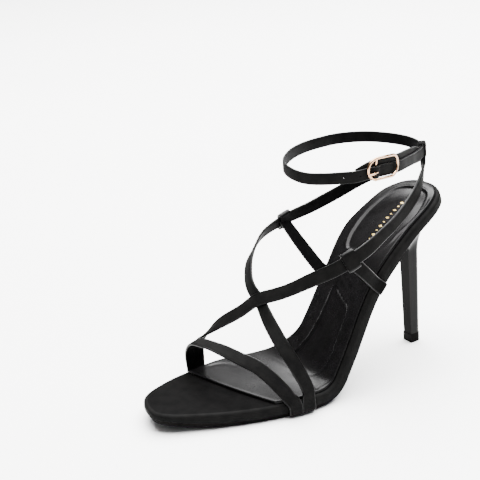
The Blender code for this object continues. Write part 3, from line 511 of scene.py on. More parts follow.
def strap_line(base, free, far_base=None, lie=0.0, lean=0.0):
    """Points and normals of a strap: its wrapped end, its free run and a far wrapped end."""
    start, start_normals = wrap(base, lie)
    guide = start[-2:] + list(free)
    if far_base:
        end, end_normals = wrap(far_base, lie)
        guide += [end[-1], end[-2]]
    run = respace(spline(guide), STRAP_STEP)
    normals = np.array([outward(p, lean) for p in run])
    for i in range(NORMAL_EASE_ROWS):
        w = i / NORMAL_EASE_ROWS
        normals[i] = start_normals[-1] * (1 - w) + normals[i] * w
        if far_base:
            normals[-1 - i] = end_normals[-1] * (1 - w) + normals[-1 - i] * w
    normals = smooth_line(normals, NORMAL_ROUNDS)
    points = np.concatenate([np.array(start[:-2]), run])
    normals = np.concatenate([np.array(start_normals[:-2]), normals])
    if far_base:
        points = np.concatenate([points, np.array(end[:-2])[::-1]])
        normals = np.concatenate([normals, np.array(end_normals[:-2])[::-1]])
    return points, normals


def refined(points, normals):
    """The same strap line in fine even steps."""
    dense = spline(points, per_span=FINE_SPAN)
    last = len(points) - 1
    share = np.linspace(0, last, last * FINE_SPAN + 1)
    turned = read_at(share, np.arange(len(points)), normals)
    even = respace(dense, FINE_STEP)
    arc = arc_of(dense)
    turned = read_at(np.linspace(0, arc[-1], len(even)), arc, turned)
    return even, smooth_line(turned, FINE_ROUNDS)


# Offset from the bed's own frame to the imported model
LOW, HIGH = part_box("top_lift")
OFFSET = np.array([(LOW[0] + HIGH[0]) / 2 - HEEL_TIP_OUTWARD,
                   (LOW[1] + HIGH[1]) / 2 - (BED_RUN - HEEL_TIP_SETBACK), 0.0])
PIECES = []


def link(name, data):
    """New object in the scene, around a mesh, a camera or a light."""
    obj = bpy.data.objects.new(name, data)
    bpy.context.scene.collection.objects.link(obj)
    return obj


def mesh_of(bm, name):
    """Mesh from a bmesh, which is freed."""
    mesh = bpy.data.meshes.new(name)
    bm.to_mesh(mesh)
    bm.free()
    return mesh


def ring_quads(first, second, count):
    """Faces between two closed rings of corners, given where each starts."""
    return [(first + j, first + (j + 1) % count, second + (j + 1) % count, second + j) for j in range(count)]


def prism(bm, low, high):
    """Closed body between two rings of bmesh corners."""
    bm.faces.new(high)
    bm.faces.new(low[::-1])
    for j in range(len(low)):
        j2 = (j + 1) % len(low)
        bm.faces.new((low[j], low[j2], high[j2], high[j]))


def to_object(name, points, faces, materials, groups=None, smooth=SOLE_SHARP, weld=WELD):
    """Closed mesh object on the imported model, welded, facing out and smooth."""
    raw = bpy.data.meshes.new(name + "_raw")
    raw.from_pydata([tuple(p) for p in np.asarray(points) + OFFSET], [], faces)
    if groups is not None:
        raw.polygons.foreach_set("material_index", groups)
    bm = bmesh.new()
    bm.from_mesh(raw)
    bpy.data.meshes.remove(raw)
    bmesh.ops.remove_doubles(bm, verts=bm.verts, dist=weld)
    bmesh.ops.dissolve_degenerate(bm, edges=bm.edges, dist=weld / 10)
    bmesh.ops.recalc_face_normals(bm, faces=bm.faces)
    mesh = mesh_of(bm, name)
    for material in materials:
        mesh.materials.append(material)
    mesh.shade_smooth()
    mesh.set_sharp_from_angle(angle=math.radians(smooth))
    return link(name, mesh)


def settle(obj, node):
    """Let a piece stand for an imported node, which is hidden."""
    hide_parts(node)
    PIECES.append(obj)


def strap_section(width, thickness, crown=STRAP_CROWN, line=STITCH_DEPTH, line_in=STITCH_IN):
    """Corners (across, outward) round a strap with rounded painted edges and a pressed line near
    each edge, and the group of each side from corner to corner: 0 face, 1 edge, 2 lining."""
    half, round_off = width / 2, thickness * EDGE_ROUND_SHARE
    line_at = half - line_in
    across = [share * line_at for share in (0.0, 0.25, 0.5, 0.75)]
    across += [line_at + d for d in STITCH_ROWS]
    across += [half - round_off - EDGE_LEDGE, half - round_off]
    across = np.array(sorted(across))
    across = np.concatenate([-across[:0:-1], across])
    dip = line * np.exp(-((np.abs(across) - line_at) / STITCH_HALF) ** 2)
    face = thickness / 2 + crown * (1 - (across / half) ** 2) - dip
    lining = -thickness / 2 + STITCH_LINING_SHARE * dip

    def rounded(side):
        """Corners of one edge, from the face down for side 1 and from the lining up for -1."""
        top = face[-1]
        middle, radius = (top - thickness / 2) / 2, (top + thickness / 2) / 2
        return [(side * (across[-1] + round_off * math.sin(a)), middle + side * radius * math.cos(a))
                for a in np.linspace(0, math.pi, EDGE_CORNERS)[1:-1]]

    corners = list(zip(across, face)) + rounded(1) + list(zip(across[::-1], lining[::-1])) + rounded(-1)
    flats, rounds = len(across) - 1, EDGE_CORNERS - 1
    return corners, [0] * flats + [1] * rounds + [2] * flats + [1] * rounds


def sweep(name, points, normals, section, materials, lift=None, pinch=None):
    """Band along a line. lift moves it outward and pinch scales its width, row by row."""
    corners, groups = section
    along = tangents(points)
    normals = square_to(normals, along)
    across = np.cross(along, normals)
    corners = np.array(corners)
    count = len(corners)
    lift = np.zeros(len(points)) if lift is None else lift
    pinch = np.ones(len(points)) if pinch is None else pinch
    verts = (points[:, None] + across[:, None] * (corners[None, :, :1] * pinch[:, None, None])
             + normals[:, None] * (corners[None, :, 1:] + lift[:, None, None]))
    faces = [tuple(range(count))[::-1], tuple(range(count * (len(points) - 1), count * len(points)))]
    for i in range(len(points) - 1):
        faces += ring_quads(i * count, (i + 1) * count, count)
    marks = [1, 1] + groups * (len(points) - 1)
    return to_object(name, verts.reshape(-1, 3), faces, materials, marks, STRAP_SHARP)


def node_material(name):
    material = bpy.data.materials.new(name)
    material.use_nodes = True
    tree = material.node_tree
    return material, tree, tree.nodes["Principled BSDF"]


def spots(tree, scale, detail=2.0):
    """Noise in the object's own metres."""
    place = tree.nodes.new("ShaderNodeTexCoord")
    noise = tree.nodes.new("ShaderNodeTexNoise")
    noise.inputs["Scale"].default_value = scale
    noise.inputs["Detail"].default_value = detail
    tree.links.new(place.outputs["Object"], noise.inputs["Vector"])
    return noise.outputs["Fac"]


def cells(tree, scale):
    """Leather's pebbles: distance to the nearest cell's edge."""
    place = tree.nodes.new("ShaderNodeTexCoord")
    voronoi = tree.nodes.new("ShaderNodeTexVoronoi")
    voronoi.feature = "SMOOTH_F1"
    voronoi.inputs["Scale"].default_value = scale
    voronoi.inputs["Smoothness"].default_value = 0.6
    tree.links.new(place.outputs["Object"], voronoi.inputs["Vector"])
    return voronoi.outputs["Distance"]


def ramp(tree, value, stops):
    """Colour ramp from (position, colour or grey) stops."""
    node = tree.nodes.new("ShaderNodeValToRGB")
    while len(node.color_ramp.elements) < len(stops):
        node.color_ramp.elements.new(0.5)
    for item, (position, colour) in zip(node.color_ramp.elements, stops):
        item.position = position
        item.color = (*colour, 1.0) if isinstance(colour, tuple) else (colour, colour, colour, 1.0)
    tree.links.new(value, node.inputs["Fac"])
    return node.outputs["Color"]


def bump(tree, shader, layers):
    """Bumps in a row: (height, strength, distance)."""
    previous = None
    for height, strength, distance in layers:
        node = tree.nodes.new("ShaderNodeBump")
        node.inputs["Strength"].default_value = strength
        node.inputs["Distance"].default_value = distance
        tree.links.new(height, node.inputs["Height"])
        if previous:
            tree.links.new(previous.outputs["Normal"], node.inputs["Normal"])
        previous = node
    tree.links.new(previous.outputs["Normal"], shader.inputs["Normal"])


def coated(name, tone, gloss, bumps, ior=None):
    """Material whose colour and roughness vary slowly: tone and gloss are a noise's scale and
    detail with the stops of its ramp. Bumps are (noise scale, detail, strength, distance)."""
    material, tree, shader = node_material(name)
    if ior:
        shader.inputs["IOR"].default_value = ior
    for (scale, detail, stops), socket in ((tone, "Base Color"), (gloss, "Roughness")):
        tree.links.new(ramp(tree, spots(tree, scale, detail), stops), shader.inputs[socket])
    layers = []
    for scale, detail, strength, distance in bumps:
        height = spots(tree, scale, detail) if detail else cells(tree, scale)
        layers.append((height, strength, distance))
    bump(tree, shader, layers)
    return material, shader


def leather(name, dark, light, rough, ior, grain=1600.0, strength=0.35, swell=0.25):
    """Fine leather: pebbled grain, slow colour and gloss variation."""
    return coated(name, (160.0, 4.0, [(0.35, dark), (0.65, light)]),
                  (90.0, 3.0, [(0.3, rough * 0.9), (0.7, rough * 1.12)]),
                  [(grain, None, strength, GRAIN_DEPTH), (grain * 2.3, 2.0, strength * 0.5, GRAIN_DEPTH),
                   (220.0, 2.0, swell, 0.00010)], ior)[0]


def lacquer(name, ior):
    """Gloss lacquer with a faint unevenness."""
    return coated(name, (60.0, 3.0, [(0.35, 0.0014), (0.65, (0.0024, 0.0023, 0.0023))]),
                  (300.0, 4.0, [(0.3, 0.16), (0.75, 0.26)]),
                  [(110.0, 2.0, 0.10, 0.0002), (1800.0, 2.0, 0.06, 0.00003)], ior)[0]


def metal(name, colour, dark, rough):
    material, shader = coated(name, (500.0, 3.0, [(0.3, dark), (0.7, colour)]),
                              (900.0, 4.0, [(0.3, rough * 0.8), (0.75, rough * 1.3)]),
                              [(700.0, 2.0, 0.08, 0.00005)])
    shader.inputs["Metallic"].default_value = 1.0
    return material


GRAIN_DEPTH = 0.00005
SATIN = leather("strap_leather", 0.0030, (0.0046, 0.0045, 0.0044), 0.60, 1.065)
COVER = leather("cover_leather", 0.0012, (0.0020, 0.0019, 0.0019), 0.62, 1.06, 2200.0, 0.25)
EDGE = leather("edge_paint", 0.0012, 0.0020, 0.34, 1.18, 900.0, 0.15)
LINING = leather("strap_lining", (0.0016, 0.0016, 0.0017), (0.0028, 0.0027, 0.0028), 0.52, 1.06,
                 1400.0, 0.20)
SOCK = leather("sock_leather_fine", (0.0022, 0.0021, 0.0022), (0.0034, 0.0032, 0.0034), 0.25, 1.17,
               1300.0, 0.05, 0.10)
SOCK_SIDE = leather("sock_edge", 0.0018, 0.0026, 0.40, 1.16)
LACQUER = lacquer("heel_lacquer_fine", 1.135)
# Less reflective copy of the heel's lacquer, for its breast only: painted shade on that face
SHADED_BREAST = lacquer("heel_breast_painted_shade", 1.06)
LIFT = lacquer("top_lift_plastic", 1.06)
RUBBER = coated("sole_rubber_fine", (240.0, 5.0, [(0.3, 0.0014), (0.7, (0.0030, 0.0029, 0.0029))]),
                (150.0, 3.0, [(0.3, 0.55), (0.7, 0.72)]),
                [(1500.0, 3.0, 0.35, 0.00006), (350.0, 2.0, 0.2, 0.0001)], 1.10)[0]
GOLD = metal("rose_gold_fine", (0.50, 0.31, 0.19), (0.40, 0.24, 0.14), 0.20)
FOIL = metal("gold_foil", (0.70, 0.52, 0.20), (0.55, 0.40, 0.14), 0.35)


def flat_rows(start, end, inset, rows):
    """Flat edge points of both sides, row by row, between arc lengths (lateral, medial)."""
    out = []
    for i in range(rows + 1):
        sides = []
        for side, first, last in ((1, start[0], end[0]), (-1, start[1], end[1])):
            first = first + inset if first > 0 else 0.0
            last = last - inset if last < INSOLE_LENGTH else INSOLE_LENGTH
            ends = np.interp([first, last], BED_ARC, ROW_MEASURE)
            angle = np.interp(ends[0] + (ends[1] - ends[0]) * i / rows, ROW_MEASURE, BED_ANGLE)
            sides.append(edge(angle, side, inset))
        out.append(sides)
    return np.array(out)


def across_shares(cols):
    """Shares across a deck, closer together at its two sides."""
    v = np.linspace(0, 1, cols + 1)
    return 0.5 * v + 0.5 * (0.5 - 0.5 * np.cos(math.pi * v))


def deck(start, end, inset, lift, rows, cols, bulge=0.0, relief=None):
    """Grid on the bed, inset from the outline. relief adds to the lift, from flat places."""
    sides = flat_rows(start, end, inset, rows)
    v = across_shares(cols)
    hump = 1 - (2 * v - 1) ** 2
    flat = sides[:, None, 0] * (1 - v)[None, :, None] + sides[:, None, 1] * v[None, :, None]
    i = np.arange(rows + 1) / rows
    along = flat[..., 0] - bulge * hump[None] * ((1 - i) ** 3)[:, None]
    if relief:
        width = (sides[:, 0, 1] - sides[:, 1, 1])[:, None]
        lift = lift + relief(along, flat[..., 1], hump[None], i[:, None], width)
    return on_bed(along, flat[..., 1], lift)


def stacked(name, grids, materials, groups, smooth=SOLE_SHARP):
    """Body from grids of the same shape: caps on the first and last, walls between."""
    rows, cols = grids[0].shape[0], grids[0].shape[1]
    rim = [(i, 0) for i in range(rows)] + [(rows - 1, k) for k in range(1, cols)]
    rim += [(i, cols - 1) for i in range(rows - 2, -1, -1)] + [(0, k) for k in range(cols - 2, 0, -1)]
    points, faces, marks = [], [], []
    for grid, mark in ((grids[0], groups[0]), (grids[-1], groups[-1])):
        base = len(points)
        points.extend(grid.reshape(-1, 3))
        for i in range(rows - 1):
            for k in range(cols - 1):
                a = base + i * cols + k
                faces.append((a, a + 1, a + cols + 1, a + cols))
                marks.append(mark)
    for level, (upper, lower) in enumerate(zip(grids, grids[1:])):
        base = len(points)
        points.extend(upper[i, k] for i, k in rim)
        points.extend(lower[i, k] for i, k in rim)
        faces += ring_quads(base, base + len(rim), len(rim))
        marks += [groups[min(level + 1, len(groups) - 1)]] * len(rim)
    return to_object(name, points, faces, materials, marks, smooth)


def round_rim(radius, lift, steps):
    return [(radius * (1 - math.sin(a)), lift - radius * (1 - math.cos(a)))
            for a in np.linspace(0, math.pi / 2, steps)]


def pressed_line(line, closed=False):
    """A smooth flat line, in metres, through the rows of a table."""
    curve = spline([np.array([a / 1000 * INSOLE_LENGTH, c / 10000]) for a, c in line], closed, LINE_SPAN)
    return np.concatenate([curve, curve[:1]]) if closed else curve


def line_distance(line, along, across, closed=False):
    """Distance from flat places to a smooth line, and the nearest place's share of the line."""
    curve = pressed_line(line, closed)
    a, b = curve[:-1], curve[1:]
    place = np.stack([along, across], -1)[..., None, :]
    ab = b - a
    t = np.clip(((place - a) * ab).sum(-1) / (ab ** 2).sum(-1), 0, 1)
    gap = np.linalg.norm(place - (a + t[..., None] * ab), axis=-1)
    k = gap.argmin(-1)[..., None]
    share = (k[..., 0] + np.take_along_axis(t, k, -1)[..., 0]) / len(a)
    return np.take_along_axis(gap, k, -1)[..., 0], share


def inside(line, along, across):
    """Whether flat places are inside a closed smooth line."""
    curve = pressed_line(line, True)
    hit = np.zeros(along.shape, bool)
    for p, q in zip(curve, curve[1:]):
        crosses = (p[1] > across) != (q[1] > across)
        at = p[0] + (across - p[1]) * (q[0] - p[0]) / (q[1] - p[1] + 1e-15)
        hit ^= crosses & (along < at)
    return hit


def sock_relief(along, across, hump, row, width):
    """Crown, padded border, seat panel, petal and pressed lines of the sock."""
    fade = np.minimum(1.0, np.minimum(5 * row, width / CROWN_FADE_WIDTH))
    lift = SOCK_CROWN * hump * fade
    front = smoothstep((along / INSOLE_LENGTH - PETAL_FROM) / PETAL_FADE)
    for line, ridge, share in ((SEAT_PANEL, SEAT_RIDGE, 1.0), (PETAL, PETAL_RIDGE, front)):
        height, before, spread = ridge
        near, _ = line_distance(line, along, across, closed=True)
        inner = np.where(inside(line, along, across), near, -near)
        lift -= share * PRESS_DEPTH * smoothstep((inner + PRESS_START) / PRESS_SPREAD)
        lift += share * height * np.exp(-((inner + before) / spread) ** 2)
    for line, depth, spread in PRESSED_LINES:
        near, place = line_distance(line, along, across)
        ends = smoothstep(place / LINE_END_FADE) * smoothstep((1 - place) / LINE_END_FADE)
        lift -= depth * ends * np.exp(-(near / spread) ** 2)
    soft = wander(along, 1.0, 0.019, 0.031) * wander(across, 2.0, 0.013, 0.023)
    return lift + SOCK_WAVE * soft * fade


def make_sole():
    """Wrapped board and padded sock, from decks laid over each other."""
    toe, heel = (0.0, 0.0), (INSOLE_LENGTH, INSOLE_LENGTH)
    levels = round_rim(BOARD_RIM_RADIUS, 0.0, BOARD_RIM_STEPS)
    levels += [(0.0, -BOARD_THICKNESS + BOARD_EDGE_RADIUS)]
    for a in np.linspace(0, math.pi / 2, EDGE_STEPS)[1:]:
        levels.append((BOARD_EDGE_RADIUS * (1 - math.cos(a)),
                       -BOARD_THICKNESS + BOARD_EDGE_RADIUS * (1 - math.sin(a))))
    grids = [deck(toe, heel, inset, lift, BOARD_ROWS, BOARD_COLS) for inset, lift in levels]
    board = stacked("board_cover", grids, [COVER, SATIN], [0] + [1] * (len(levels) - 1))
    settle(board, "insole_board")

    start = (SOCK_FRONT_LATERAL, SOCK_FRONT_MEDIAL)
    levels = round_rim(SOCK_EDGE_RADIUS, FIT_GAP + SOCK_THICKNESS, SOCK_RIM_STEPS) + [(0.0, FIT_GAP)]
    grids = [deck(start, heel, SOCK_INSET + inset, lift, SOCK_ROWS, SOCK_COLS, SOCK_FRONT_BULGE,
                  None if level else sock_relief) for level, (inset, lift) in enumerate(levels)]
    sock = stacked("sock_pad", grids, [SOCK, SOCK_SIDE], [0, 0, 0, 1, 1, 1, 1, 1])
    settle(sock, "sock_lining")


def heel_column(share, rows, shares):
    """Flat grid of the column's section at a share of its height, tip to root."""
    width = HEEL_TIP_WIDTH + (HEEL_ROOT_WIDTH - HEEL_TIP_WIDTH) * share
    depth = HEEL_TIP_DEPTH + (HEEL_ROOT_DEPTH - HEEL_TIP_DEPTH) * share
    front = BED_RUN - HEEL_TIP_SETBACK - HEEL_ROOT_FORWARD * share - depth / 2
    straight, arc = depth - HEEL_BACK_RADIUS, 0.5 * math.pi * HEEL_BACK_RADIUS
    grid = np.zeros((rows + 1, len(shares), 2))
    for i in range(rows + 1):
        walk = i / rows * (straight + arc + width / 2 - HEEL_BACK_RADIUS)
        half, back = width / 2, walk
        if walk >= straight + arc:
            half, back = half - HEEL_BACK_RADIUS - (walk - straight - arc), depth
        elif walk >= straight:
            a = (walk - straight) / HEEL_BACK_RADIUS
            half -= HEEL_BACK_RADIUS * (1 - math.cos(a))
            back = straight + HEEL_BACK_RADIUS * math.sin(a)
        grid[i, :, 0] = HEEL_TIP_OUTWARD + half * (1 - 2 * shares)
        grid[i, :, 1] = front + back
    return grid


def make_heel():
    """Fine heel: column that flares into the seat, with its breast as a face of its own in a less reflective
    copy of the lacquer, as painted shade.
    """
    breast = INSOLE_LENGTH - HEEL_SEAT_LENGTH
    seat = deck((breast, breast), (INSOLE_LENGTH, INSOLE_LENGTH), HEEL_SEAT_INSET,
                -(BOARD_THICKNESS + FIT_GAP), HEEL_ROWS, HEEL_COLS)
    tip = TOP_LIFT_HEIGHT + FIT_GAP
    back = np.sin(0.5 * math.pi * np.arange(HEEL_ROWS + 1) / HEEL_ROWS) ** FLARE_TURN
    reach = (FRONT_FLARE + (BACK_FLARE - FRONT_FLARE) * back)[:, None]
    grids = []
    for share in 1 - np.linspace(0, 1, HEEL_LEVELS) ** HEEL_LEVEL_POWER:
        column = heel_column(share, HEEL_ROWS, across_shares(HEEL_COLS))
        z = tip + (seat[..., 2] - tip) * share
        flare = np.clip(1 - (seat[..., 2] - z) / reach, 0, 1) ** 2
        flat = column + (seat[..., :2] - column) * flare[..., None]
        grids.append(np.concatenate([flat, z[..., None]], -1))
    heel = stacked("heel_column", grids, [LACQUER, SHADED_BREAST], [0] * len(grids), HEEL_SHARP)
    # Faces turned towards the toe take the less reflective copy: painted shade on the breast
    for face in heel.data.polygons:
        if face.normal.y < SHADED_BREAST_FACING:
            face.material_index = 1
    settle(heel, "heel")


def make_marks():
    """A row of small plain gold diamonds on the seat panel."""
    (a0, c0), (a1, c1) = MARKS
    step = np.array([(a1 - a0) * INSOLE_LENGTH, c1 - c0])
    ahead = step / np.linalg.norm(step)
    side = np.array([-ahead[1], ahead[0]])
    bm = bmesh.new()
    for n in range(MARK_COUNT):
        middle = np.array([a0 * INSOLE_LENGTH, c0]) + step * n / (MARK_COUNT - 1)
        long, wide = MARK_SMALL if n % 2 else MARK_LARGE
        rings = []
        for scale, lift in MARK_RINGS:
            ring = []
            for u, v in ((1, 0), (0, 1), (-1, 0), (0, -1)):
                flat = middle + (ahead * u * wide + side * v * long) * scale
                height = FIT_GAP + SOCK_THICKNESS + mark_height(flat) + lift
                ring.append(bm.verts.new(on_bed(flat[0], flat[1], height) + OFFSET))
            rings.append(ring)
        prism(bm, *rings)
    bmesh.ops.recalc_face_normals(bm, faces=bm.faces)
    mesh = mesh_of(bm, "sock_marks")
    mesh.materials.append(FOIL)
    marks = link("sock_marks", mesh)
    PIECES.append(marks)


def mark_height(flat):
    """Lift of the sock's face at one flat place."""
    along, across = np.array([[flat[0]]]), np.array([[flat[1]]])
    angle = float(turn(flat[0] / INSOLE_LENGTH))
    inset = SOCK_INSET + SOCK_EDGE_RADIUS
    lateral, medial = edge(angle, 1, inset)[1], edge(angle, -1, inset)[1]
    v = (lateral - flat[1]) / (lateral - medial)
    hump = 1 - (2 * v - 1) ** 2
    lift = sock_relief(along, across, hump, np.array([[MARK_ROW]]), np.array([[lateral - medial]]))
    return float(lift[0, 0])


class AnkleRing:
    """Closed line of the ankle strap, measured along it from the buckle's middle."""

    def __init__(self):
        rows = sized(ANKLE_ROUTE, ANKLE_WIDTH)
        rows = rows[BUCKLE_ROW::-1] + rows[:BUCKLE_ROW:-1]
        dense = spline(rows, closed=True, per_span=RING_SPAN)
        self.points = np.concatenate([dense, dense[:1]])
        self.arc = arc_of(self.points)
        self.length = self.arc[-1]
        back = rows[BUCKLE_ROW]
        self.loop_at = self.arc[int(np.argmin(np.linalg.norm(self.points - back, axis=1)))]

    def point(self, at):
        return read_at(np.mod(at, self.length), self.arc, self.points)

    def frame(self, at, reach=FRAME_REACH):
        """Point, outward normal and direction at a distance along the ring."""
        along = self.point(at + reach) - self.point(at - reach)
        along /= np.linalg.norm(along)
        normal = np.cross(along, np.array([0.0, 0.0, 1.0]))
        normal /= np.linalg.norm(normal)
        return self.point(at), normal, along

    def place(self, at, offset, across=0.0):
        """Point beside the ring: outward by offset and down by across."""
        p, normal, along = self.frame(at)
        return p + normal * offset + np.cross(along, normal) * across


HALF_ANKLE = ANKLE_STRAP_THICKNESS / 2
FREE_LAYER = ANKLE_STRAP_THICKNESS + FIT_GAP
PIVOT_BAR_OFFSET = HALF_ANKLE + FIT_GAP + PIVOT_BAR_WIRE / 2
FREE_OVER_BAR = PIVOT_BAR_OFFSET + PIVOT_BAR_WIRE / 2 + FIT_GAP + HALF_ANKLE
FRAME_OFFSET = FREE_LAYER + HALF_ANKLE + FIT_GAP + BUCKLE_WIRE / 2
END_BAR_AT = (BUCKLE_LENGTH - BUCKLE_WIRE) / 2
SIDE_BAR_AT = (BUCKLE_HEIGHT - BUCKLE_WIRE) / 2


def free_offset(at):
    """Offset of the free end's middle at a distance behind the buckle's middle."""
    from_bar = (at + PIVOT_BAR_AHEAD) / HUMP_HALF
    if abs(from_bar) <= 1:
        hump = 0.5 + 0.5 * math.cos(math.pi * from_bar)
        return FREE_LAYER + (FREE_OVER_BAR - FREE_LAYER) * hump
    ease = (-at - FIXED_END_AHEAD - FREE_EASE_GAP) / FREE_EASE
    return FREE_LAYER * (0.5 + 0.5 * math.cos(math.pi * min(1.0, max(0.0, ease))))


def bump_at(points, centre, reach):
    """1 at the place of a line nearest to a point, fading over a reach along it."""
    arc = arc_of(points)
    middle = arc[int(np.argmin(np.linalg.norm(points - centre, axis=1)))]
    return np.exp(-((arc - middle) / reach) ** 2)


def make_straps(ring):
    """Toe strap, two crossing straps, two tabs with their folds and the back loop."""
    finish = [SATIN, EDGE, LINING]
    toe_route, medial_route, lateral_route = (
        sized(route, BALL_WIDTH) for route in (TOE_STRAP_ROUTE, MEDIAL_STRAP_ROUTE, LATERAL_STRAP_ROUTE))
    toe = refined(*strap_line(TOE_STRAP_MEDIAL, toe_route, TOE_STRAP_LATERAL, TOE_STRAP_LIE))
    medial = refined(*strap_line(MEDIAL_STRAP_BASE, medial_route, lean=1.0))
    lateral = refined(*strap_line(LATERAL_STRAP_BASE, lateral_route, lean=1.0))
    cross = 0.5 * (medial_route[MEDIAL_CROSSING_ROW] + lateral_route[LATERAL_CROSSING_ROW])
    section = strap_section(STRAP_WIDTH, STRAP_THICKNESS)
    for name, line, over, seed in (
            ("toe_strap", toe, 0.0, 1.0), ("medial_strap", medial, CROSSING_LIFT, 2.0),
            ("lateral_strap", lateral, -CROSSING_LIFT, 3.0)):
        arc = arc_of(line[0])
        lift = WAVE_HEIGHT * wander(arc, seed, *WAVE_LENGTHS)
        lift += over * bump_at(line[0], cross, CROSSING_REACH)
        pinch = 1 + WIDTH_WAVE * wander(arc, seed + 0.5, *WIDTH_WAVE_LENGTHS)
        settle(sweep(name, *line, section, finish, lift, pinch), "upper")
    tab_section = strap_section(TAB_WIDTH, STRAP_THICKNESS)
    fold_section = strap_section(STRAP_WIDTH + 2 * TAB_FOLD, STRAP_THICKNESS + 2 * TAB_FOLD, 0.0, 0.0)
    pinch = 1 - FOLD_DRAW * np.abs(np.linspace(-1, 1, FOLD_ROWS)) ** 8
    for label, base, line, centre in (
            ("lateral", LATERAL_TAB_BASE, medial, medial_route[LATERAL_LOOP_ROW]),
            ("medial", MEDIAL_TAB_BASE, lateral, lateral_route[MEDIAL_LOOP_ROW])):
        side = wrap(base)[0][-1]
        middle = side + (centre - side) * 0.5
        middle = middle + outward(middle) * TAB_BOW
        tab = refined(*strap_line(base, [middle, centre]))
        settle(sweep(label + "_tab", *tab, tab_section, [COVER, EDGE, LINING]), "upper")
        arc = arc_of(line[0])
        at = arc[int(np.argmin(np.linalg.norm(line[0] - centre, axis=1)))]
        stops = np.linspace(at - TAB_WIDTH / 2, at + TAB_WIDTH / 2, FOLD_ROWS)
        fold = [read_at(stops, arc, rows) for rows in line]
        settle(sweep(label + "_fold", *fold, fold_section, finish, None, pinch), "upper")
    make_back_loop(ring, finish)


def make_back_loop(ring, finish):
    """Sleeve of leather that holds the ankle strap at the back."""
    inner = (-HALF_ANKLE - FIT_GAP, FREE_LAYER + HALF_ANKLE + FIT_GAP)
    room = ANKLE_STRAP_WIDTH / 2 + FIT_GAP
    mid, half = (inner[0] + inner[1]) / 2, (inner[1] - inner[0]) / 2
    stops = np.linspace(ring.loop_at - LOOP_LENGTH / 2, ring.loop_at + LOOP_LENGTH / 2, LOOP_ROWS)
    angle = np.linspace(0, 2 * math.pi, LOOP_CORNERS, endpoint=False)
    c, s = np.cos(angle), np.sin(angle)
    points, faces, marks = [], [], []
    for wall, power in ((LOOP_WALL, LOOP_OUTER_POWER), (0.0, LOOP_INNER_POWER)):
        width = (room + wall) * np.sign(c) * np.abs(c) ** (2 / power)
        depth = (half + wall) * np.sign(s) * np.abs(s) ** (2 / power)
        for i, at in enumerate(stops):
            u = 2 * i / (LOOP_ROWS - 1) - 1
            draw = 1 - (LOOP_DRAW * abs(u) ** 6 if wall else 0.0)
            points += [ring.place(at, mid + d * draw, w * draw) for w, d in zip(width, depth)]
    block = LOOP_ROWS * LOOP_CORNERS
    for first, mark in ((0, 0), (block, 2)):
        for i in range(LOOP_ROWS - 1):
            faces += ring_quads(first + i * LOOP_CORNERS, first + (i + 1) * LOOP_CORNERS, LOOP_CORNERS)
            marks += [mark] * LOOP_CORNERS
    for first in (0, (LOOP_ROWS - 1) * LOOP_CORNERS):
        faces += ring_quads(first, block + first, LOOP_CORNERS)
        marks += [1] * LOOP_CORNERS
    settle(to_object("back_loop", points, faces, finish, marks, LOOP_SHARP), "upper")


def make_ankle_band(ring):
    """One band: from under the buckle's bar, once round the ankle and back over itself."""
    points, normals = [], []
    tip = ring.length + ring.loop_at + STRAP_END_PAST_LOOP
    for at in np.linspace(-FIXED_END_AHEAD, tip, BAND_ROWS):
        if at < ring.length / 2:
            offset = 0.0
            rise = FIXED_LAYER_LIFT * float(monotone(FIXED_LAYER_RISE, at / ring.loop_at))
        else:
            offset, rise = free_offset(at - ring.length), 0.0
        points.append(ring.place(at, offset, -rise))
        normals.append(ring.frame(at)[1])
    points, normals = np.array(points), smooth_line(np.array(normals), 2)
    section = strap_section(ANKLE_STRAP_WIDTH, ANKLE_STRAP_THICKNESS, ANKLE_CROWN, ANKLE_STITCH_DEPTH,
                            ANKLE_STITCH_IN)
    strap = sweep("ankle_band", points, normals, section, [SATIN, EDGE, LINING])
    punch(ring, strap)
    settle(strap, "ankle_strap")


def punch(ring, strap):
    """Round holes for the prong along the free end, and a rivet's hole in the fixed layer."""
    bm = bmesh.new()
    holes = []
    for n in (-2, -1, 0):
        behind = n * HOLE_PITCH - PIVOT_BAR_AHEAD
        holes.append((behind, free_offset(behind), 0.0, HOLE_RADIUS if n else PRONG_WIRE * 0.75))
    holes.append((RIVET_BEHIND, 0.0, -FIXED_LAYER_LIFT - RIVET_UP, HOLE_RADIUS))
    for behind, offset, across, radius in holes:
        at = ring.length + behind
        _, normal, along = ring.frame(at)
        centre = ring.place(at, offset, across) + OFFSET
        down = np.cross(along, normal)
        turns = np.linspace(0, 2 * math.pi, WIRE_CORNERS, endpoint=False)
        round_hole = [centre + (along * math.cos(a) + down * math.sin(a)) * radius for a in turns]
        low, high = ([bm.verts.new(p + normal * depth) for p in round_hole]
                     for depth in (-HOLE_REACH, HOLE_REACH))
        prism(bm, low, high)
    bmesh.ops.recalc_face_normals(bm, faces=bm.faces)
    tool = link("hole_tool", mesh_of(bm, "hole_tool"))
    holed = strap.modifiers.new("Holes", "BOOLEAN")
    holed.operation = "DIFFERENCE"
    holed.solver = "EXACT"
    holed.object = tool
    bpy.context.view_layer.update()
    done = bpy.data.meshes.new_from_object(strap.evaluated_get(bpy.context.evaluated_depsgraph_get()))
    strap.modifiers.clear()
    strap.data = done
    bpy.data.objects.remove(tool)
    done.set_sharp_from_angle(angle=math.radians(LOOP_SHARP))


